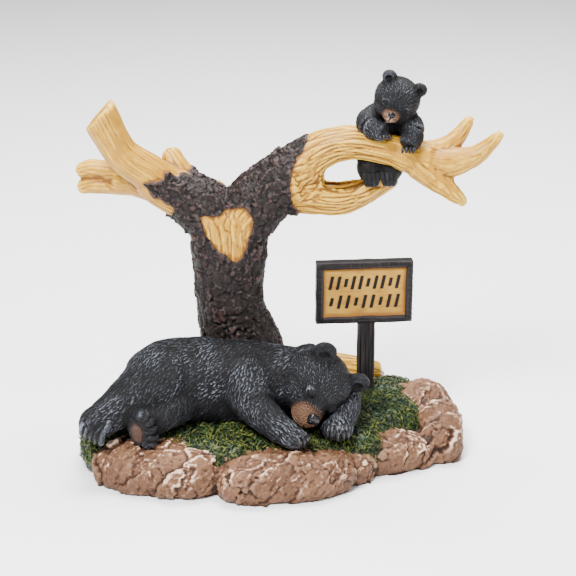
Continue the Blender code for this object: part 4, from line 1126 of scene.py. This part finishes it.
def make_bear_head(head, fur_paint):
    """Broad head with closed eyes, cupped ears and a brown muzzle."""
    bm = bmesh.new()
    for centre, radii in BEAR_HEAD_SHAPES.values():
        add_ball(bm, head.at(*centre), radii, head.axes)
    mesh = one_skin(bm, voxel=0.9, smoothing=7)
    bm = bmesh.new()
    bm.from_mesh(mesh)
    across, up, forward = BEAR_EYE
    for side in (-1, 1):
        add_ball(bm, head.at(side * across, up, forward - 2.6), (3.7, 3.0, 3.6), head.axes)
    mesh = one_skin(bm, voxel=0.4, smoothing=9)
    points, normals = points_of(mesh), normals_of(mesh)
    own = head.local(points)
    flow = radiating(points, head, (0.0, 1.5, 25.0))
    muzzle = ball_mask(own, (0, -4.8, 22.0), (9.6, 9.2, 9.0), 0.86, 1.04)
    nose_skin = ball_mask(own, (0, 1.6, 27.4), (4.4, 3.5, 3.4), 0.8, 1.0)
    eyelids = both_sides(own, BEAR_EYE, (3.7, 3.1, 3.0), 0.6)
    brows = both_sides(own, (across, up + 3.6, forward - 1.0), (5.0, 3.2, 5.0), 0.5)
    cups, ears = ear_cups(own, BEAR_HEAD_SHAPES, 0.6)
    sizes = np.clip(0.74 - 0.30 * muzzle - 0.26 * eyelids, 0.3, 1.0)
    locks = Locks(points, normals)
    locks.comb(flow, pitch=1.2, length=6.0, width=1.6, wander=0.3, sizes=sizes,
               where=own[:, 2] > -12.0)
    bare = np.clip(nose_skin + eyelids * 0.7 + cups * 0.5, 0.0, 1.0)
    height = (locks.height - LOCK_LEVEL) * (1.0 - 0.7 * muzzle) * 1.05 * (1.0 - bare)
    lips = [(0, -5.4, 28.2), (2.8, -7.2, 27.0), (6.2, -8.6, 23.4), (8.6, -7.8, 18.6)]
    depth, ink = face_lines(points, head, (across, up + 0.4, forward + 0.8, 3.7, 2.6), lips,
                            [(0, -1.4, 28.6), (0, -5.4, 28.2)])
    moved = points + normals * (height - depth)[:, None]
    moved -= np.array(head.forward) * (cups * 1.8)[:, None]
    move_points(mesh, moved)
    quiet = np.maximum(eyelids, np.maximum(ears * 0.8, brows * 0.7))
    masks = {"muzzle": muzzle * (1.0 - nose_skin), "lid": quiet, "ink": np.maximum(ink, cups * 0.5)}
    fur_piece(mesh, locks, masks, "bear_head", fur_paint, "sleeping_bear")


def make_nose(name, head, shape, voxel, node):
    """Leathery nose with two nostrils."""
    (across, up, forward), radii = shape
    bm = bmesh.new()
    add_ball(bm, head.at(*shape[0]), radii, head.axes, 2.5)
    add_ball(bm, head.at(across, up - radii[1] * 0.7, forward),
             (radii[0] * 0.55, radii[1] * 0.8, radii[2] * 0.8), head.axes)
    mesh = one_skin(bm, voxel, 6)
    points = points_of(mesh)
    own = head.local(points)
    for side in (-1, 1):
        hole = (side * radii[0] * 0.52, up - radii[1] * 0.25, forward + radii[2])
        nostril = ball_mask(own, hole, (radii[0] * 0.3, radii[1] * 0.27, radii[2] * 0.6), 0.3, 1.0)
        points -= np.array(head.forward) * (nostril * radii[2] * 0.55)[:, None]
    move_points(mesh, points)
    skin = horn_finish(name + "_skin", (0.030, 0.030, 0.034))
    finish_piece(name, mesh, skin, node)


def make_claws(name, found, node):
    """Separate glossy claws."""
    bm = bmesh.new()
    for stations in found:
        add_limb(bm, stations, sides=12, steps=5)
    bmesh.ops.recalc_face_normals(bm, faces=bm.faces)
    # The claws' paler patches are a painted highlight.
    horn = horn_finish(name + "_horn", (0.16, 0.16, 0.17), 0.3)
    finish_piece(name, mesh_of(bm, name), horn, node)


def make_bear():
    """Sleeping bear: body, head, nose and claws."""
    head = Head(BEAR_HEAD)
    fur_paint = fur_finish("black_fur", (0.25, 0.275, 0.335))
    make_bear_body(head, fur_paint)
    make_bear_head(head, fur_paint)
    make_nose("bear_nose", head, BEAR_NOSE, 0.22, "sleeping_bear")
    make_claws("bear_claws", claws(), "sleeping_bear")


def make_cub():
    """Cub hanging over the branch, with carved fur and a grey-brown muzzle."""
    head = Head(CUB_HEAD)
    bm = bmesh.new()
    for stations in CUB_LIMBS.values():
        add_limb(bm, stations)
    for centre, radii in CUB_HEAD_SHAPES.values():
        add_ball(bm, head.at(*centre), radii, head.axes)
    toes = []
    for k in range(4):
        share = k - 1.5
        for x, z in ((44.2, 155.6), (53.6, 156.0)):
            toes.append(taper((x + share * 2.3, 10.6 + abs(share) * 0.7, z),
                              (x + share * 1.5, 11.2, z - 7.4), 1.35, (0, -1.6, -0.4)))
    mesh = skin_with(one_skin(bm, voxel=0.85, smoothing=5), toes, 0.42, 5)
    points, normals = points_of(mesh), normals_of(mesh)
    own = head.local(points)
    on_head = ball_mask(own, (0, 1.0, 0.0), (15.0, 17.0, 18.0), 0.8, 1.0)
    flow = hair_flow(points, CUB_LIMBS, CUB_HAIR, {}) * (1.0 - on_head)[:, None]
    flow += radiating(points, head, (0.0, 1.0, 15.0)) * on_head[:, None]
    muzzle = ball_mask(own, (0, -3.2, 12.8), (5.2, 4.8, 5.4), 0.84, 1.04)
    nose_skin = ball_mask(own, (0, -0.4, 15.6), (2.4, 1.9, 2.0), 0.8, 1.0)
    across, up, forward = CUB_EYE
    eyelids = both_sides(own, (across, up, forward - 0.4), (2.2, 1.6, 2.0), 0.6)
    cups, ears = ear_cups(own, CUB_HEAD_SHAPES, 0.62)
    sizes = np.clip(0.58 - 0.1 * on_head - 0.2 * muzzle, 0.3, 1.0)
    locks = Locks(points, normals)
    locks.comb(flow, pitch=1.4, length=6.4, width=1.75, sizes=sizes)
    bare = np.clip(nose_skin + eyelids * 0.6 + cups * 0.6, 0.0, 1.0)
    height = (locks.height - LOCK_LEVEL) * (1.0 - 0.6 * muzzle) * 0.9 * (1.0 - bare)
    lips = [(0, -4.2, 15.4), (2.2, -5.2, 14.0), (4.4, -5.0, 10.8)]
    depth, ink = face_lines(points, head, (across, up + 0.2, forward, 2.3, 1.2), lips,
                            [(0, -1.8, 16.0), (0, -4.2, 15.4)])
    moved = points + normals * (height - depth * 0.6)[:, None]
    moved -= np.array(head.forward) * (cups * 1.5)[:, None]
    move_points(mesh, moved)
    feet = 1.0 - smooth_step(157.0, 162.0, points[:, 2])
    masks = {"muzzle": muzzle * (1.0 - nose_skin) * 0.7,
             "lid": np.maximum(eyelids, np.maximum(ears * 0.6, feet)),
             "ink": np.maximum(ink, cups * 0.7)}
    fur_paint = fur_finish("cub_black_fur", (0.22, 0.24, 0.29))
    fur_piece(mesh, locks, masks, "carved_cub", fur_paint, "bear_cub")
    make_nose("cub_nose", head, CUB_NOSE, 0.16, "bear_cub")
    found = []
    for k in range(4):
        share = k - 1.5
        found.append(taper((50.2 + share * 1.8, 2.4, 179.2), (50.8 + share * 1.8, 1.0, 176.4), 0.85,
                           (0, -0.9, 0.4)))
        found.append(taper((62.8 + share * 1.9, 0.8, 172.6), (62.3 + share * 1.9, 0.2, 169.4), 0.9,
                           (0, -0.9, 0.4)))
    make_claws("cub_claws", found, "bear_cub")


# Base
def add_mound(bm, x, y, a, b, top, middle=0.4, turn=0.0, power=2.9):
    """Add a boxy ball with its place and size as shares of the base, and its top at a height."""
    half_x, half_y = BASE_HALF
    add_ball(bm, BASE_MIDDLE + Vector((x * half_x, y * half_y, top * middle)),
             (a * half_x, b * half_y, top * (1.0 - middle)),
             Matrix.Rotation(math.radians(turn), 3, "Z"), power)


def make_rocks():
    """Rim of weathered stones, flat underneath."""
    bm = bmesh.new()
    for x, y, a, b, turn, height in ROCKS:
        add_mound(bm, x, y, a, b, height * ROCK_HEIGHT, 0.36, turn, 2.8)
    for row in FILL_UNDER_GRASS:
        add_mound(bm, *row, GROUND_HEIGHT * 0.85)
    mesh = one_skin(bm, voxel=0.85, smoothing=3)
    points = points_of(mesh)
    normals = normals_of(mesh)
    slant = np.array([0.62, 0.25, 0.74])
    slant /= np.linalg.norm(slant)
    drawn = points - np.outer(points @ slant, slant) * 0.6 + noises_at(points, 3.6, 41.0) * 1.2
    gaps, tones, leans = cells_at(drawn, 10.0, 6.0)
    small_leans = cells_at(drawn, 4.6, 9.0)[2]
    height = noise_at(points, 20.0, 1.0) * 1.2 + leans * 1.9 + tones * 0.7 + small_leans * 0.7
    height -= (1.0 - smooth_step(0.0, 0.10, gaps)) * 0.35
    height += (ridges_at(drawn, 2.8, 14.0) - 0.5) * 0.45 + noise_at(points, 1.6, 4.0) * 0.25
    points += normals * height[:, None]
    points[:, 2] = np.maximum(points[:, 2], 0.0)
    move_points(mesh, points)
    store(mesh, "rise", points[:, 2])
    store_relief(mesh)
    finish_piece("rock_rim", mesh, rock_finish("brown_stone"), "base")


def inside_any(point, solids):
    """Whether a point in millimetres lies inside one of the closed solids: a ray up leaves it."""
    for solid in solids:
        start = Vector(point) * MM
        crossings = 0
        while crossings < MOST_CROSSINGS:
            hit = solid.ray_cast(start, Vector((0.0, 0.0, 1.0)))[0]
            if hit is None:
                break
            crossings += 1
            start = hit + Vector((0.0, 0.0, RAY_NUDGE))
        if crossings % 2:
            return True
    return False


def make_grass():
    """Mound of moss and the curly blades that lie over it."""
    bm = bmesh.new()
    for x, y, a, b, height in GRASS_MOUNDS:
        add_mound(bm, x, y, a, b, height * GROUND_HEIGHT)
    mesh = one_skin(bm, voxel=0.95, smoothing=6)
    points, normals = points_of(mesh), normals_of(mesh)
    outward = (points - np.array(BASE_MIDDLE)) * np.array([1.0, 1.0, 0.0])
    outward /= np.linalg.norm(outward, axis=1)[:, None] + 1e-9
    flow = outward * 0.7 + np.array([-0.1, -0.4, -0.5])
    locks = Locks(points, normals)
    locks.comb(flow, pitch=2.0, length=6.0, width=1.9, wander=0.8, where=points[:, 2] > 4.0)
    lift = locks.height * 1.3 + noise_at(points, 6.0, 3.0) * 0.6
    points = points + normals * lift[:, None]
    points[:, 2] = np.maximum(points[:, 2], 0.4)
    move_points(mesh, points)
    store(mesh, "tip", locks.height * 0.9)
    top = points[:, 2] > 8.0
    seeds = scattered(points[top], 1.9)
    spots = points[top][seeds]
    ups = normals_of(mesh)[top][seeds]
    ways = flow[top][seeds]
    finish_piece("moss_mound", mesh, grass_finish("dark_moss", 0.45, 0.85), "base")

    bm = bmesh.new()
    tip_values = []
    for spot, up, way in zip(spots, ups, ways):
        if inside_any(spot + up * 0.6, SOLIDS_OVER_GRASS):
            continue
        add_blade(bm, Vector(spot), Vector(up), Vector(way), tip_values)
    blades = mesh_of(bm, "blades")
    store(blades, "tip", tip_values)
    finish_piece("grass_blades", blades, grass_finish("grass_tips", 0.35, 0.9), "base")


def add_blade(bm, spot, up, way, tip_values):
    """One tapered, curled blade lying on the moss."""
    turn, curl = random_draws.normal(0.0, 0.8), random_draws.normal(0.0, 0.9)
    length, width = random_draws.uniform(3.2, 5.4), random_draws.uniform(0.42, 0.62)
    heading = Matrix.Rotation(turn, 3, up) @ (way - up * way.dot(up)).normalized()
    bright = random_draws.uniform(0.35, 1.2)
    rings = []
    place = spot - heading * length * 0.4
    steps = 4
    for k in range(steps + 1):
        share = k / steps
        side = up.cross(heading)
        centre = place + up * (1.3 * math.sin(math.pi * min(0.85, share)))
        half = width * (0.6 + 0.9 * share - 1.38 * share * share)
        ring = [bm.verts.new(centre + side * half), bm.verts.new(centre + up * half),
                bm.verts.new(centre - side * half)]
        tip_values.extend([share * bright, share * bright + 0.2, share * bright])
        rings.append(ring)
        heading = (Matrix.Rotation(curl / steps * 1.6, 3, up) @ heading).normalized()
        place = place + heading * (length / steps)
    for low, high in zip(rings, rings[1:]):
        for k in range(3):
            n = (k + 1) % 3
            bm.faces.new((low[k], high[k], high[n], low[n]))
    bm.faces.new(rings[0])
    bm.faces.new(rings[-1][::-1])


# Sign
def stroke_distance(x, z):
    """Signed distance to the two rows of strokes, over 0 inside a stroke."""
    inner_x = BOARD_SIZE[0] / 2 - FRAME_WIDTH
    row_pitch = STROKE_HEIGHT * 1.42
    nearest = np.full(len(x), -50.0)
    for row, count in ((0.5, 10), (-0.5, 9)):
        pitch = inner_x * 1.8 / count
        for k in range(count):
            short = 0.62 if (k + count) % 3 == 0 else 1.0
            up = z - BOARD_MIDDLE - row * row_pitch
            across = x - BOARD_SHIFT - (k - (count - 1) / 2) * pitch - up * STROKE_LEAN
            inside = np.minimum(STROKE_WIDTH / 2 - np.abs(across), short * STROKE_HEIGHT / 2 - np.abs(up))
            nearest = np.maximum(nearest, inside)
    return nearest


def make_sign():
    """Framed board with two rows of strokes, on a grooved post."""
    width, thick, tall = BOARD_SIZE
    bm = bmesh.new()
    add_box(bm, (BOARD_SHIFT - width / 2, -thick / 2, BOARD_FOOT),
            (BOARD_SHIFT + width / 2, thick / 2, BOARD_MIDDLE + tall / 2))
    add_box(bm, (-POST_SIZE[0] / 2, -POST_SIZE[1] / 2, -SOCKET_DEPTH),
            (POST_SIZE[0] / 2, POST_SIZE[1] / 2, BOARD_FOOT + 2))
    mesh = one_skin(bm, voxel=0.42, smoothing=3)
    points, normals = points_of(mesh), normals_of(mesh)
    x, _, z = points.T
    inner_x, inner_z = width / 2 - FRAME_WIDTH, tall / 2 - FRAME_WIDTH
    wobble = noise_at(points, 9.0, 1.0) * 0.35
    panel = np.minimum(inner_x - np.abs(x - BOARD_SHIFT), inner_z - np.abs(z - BOARD_MIDDLE)) + wobble
    front = smooth_step(0.4, 0.8, -normals[:, 1]) * (z > BOARD_FOOT)
    panel = np.where((normals[:, 1] < 0.3) & (z > BOARD_FOOT), panel, OFF_PANEL)
    stroke = np.where(panel > 0.6, stroke_distance(x, z), OFF_PANEL)
    post = z < BOARD_FOOT - 0.3
    streak = np.where(post, noise_at(points * np.array([1.0, 1.0, 0.05]), 0.9, 3.0),
                      noise_at(points * np.array([0.1, 1.0, 1.0]), 1.6, 4.0))
    height = streak * np.where(post, 0.5, 0.16) + noise_at(points, 8.0, 5.0) * 0.25
    bevel = smooth_step(-4.0, -2.4, panel) * (1.0 - smooth_step(-1.2, 0.0, panel)) * 0.5
    sunk = PANEL_RECESS * smooth_step(-0.35, 0.45, panel) + 0.5 * smooth_step(-0.2, 0.25, stroke)
    height += front * (bevel - sunk)
    raise_by(mesh, height)
    store(mesh, "panel", panel)
    store(mesh, "stroke", stroke)
    store_relief(mesh)
    place = Matrix.Translation(SIGN_FOOT) @ Matrix.Rotation(SIGN_TURN, 4, "Z")
    finish_piece("painted_sign", mesh, sign_finish("sign_paint"), "sign", place)


# Stage
def add_floor():
    """Wide pale floor."""
    bm = bmesh.new()
    bmesh.ops.create_grid(bm, x_segments=2, y_segments=2, size=FLOOR_SIZE)
    mesh = mesh_of(bm, "floor")
    mesh.materials.append(plain_floor_finish())
    floor = new_object("floor", mesh)


def add_area_light(name, place, size, power):
    """Square soft box aimed at what the camera looks at."""
    data = bpy.data.lights.new(name, "AREA")
    data.shape = "SQUARE"
    data.size = size
    data.energy = power
    lamp = bpy.data.objects.new(name, data)
    lamp.location = place
    lamp.rotation_euler = (CAMERA_AIM - Vector(place)).to_track_quat("-Z", "Y").to_euler()
    bpy.context.scene.collection.objects.link(lamp)


def add_studio():
    """Camera at the photograph's angle, soft boxes and a bright surround."""
    data = bpy.data.cameras.new("camera")
    data.sensor_width = 36.0
    data.lens = CAMERA_LENS
    camera = bpy.data.objects.new("camera", data)
    back = Vector((0.0, -math.cos(CAMERA_ELEVATION), math.sin(CAMERA_ELEVATION)))
    camera.location = CAMERA_AIM + back * CAMERA_DISTANCE
    camera.rotation_euler = (CAMERA_AIM - camera.location).to_track_quat("-Z", "Y").to_euler()
    bpy.context.scene.collection.objects.link(camera)
    bpy.context.scene.camera = camera
    for name, (place, size, power) in LIGHTS.items():
        add_area_light(name, place, size, power)
    world = bpy.data.worlds.new("surround")
    world.use_nodes = True
    background = world.node_tree.nodes["Background"]
    background.inputs["Color"].default_value = (1.0, 1.0, 1.0, 1.0)
    background.inputs["Strength"].default_value = SURROUND_STRENGTH
    bpy.context.scene.world = world


make_tree()
make_fallen_branch()
make_bear()
make_cub()
make_rocks()
make_grass()
make_sign()
add_floor()
add_studio()
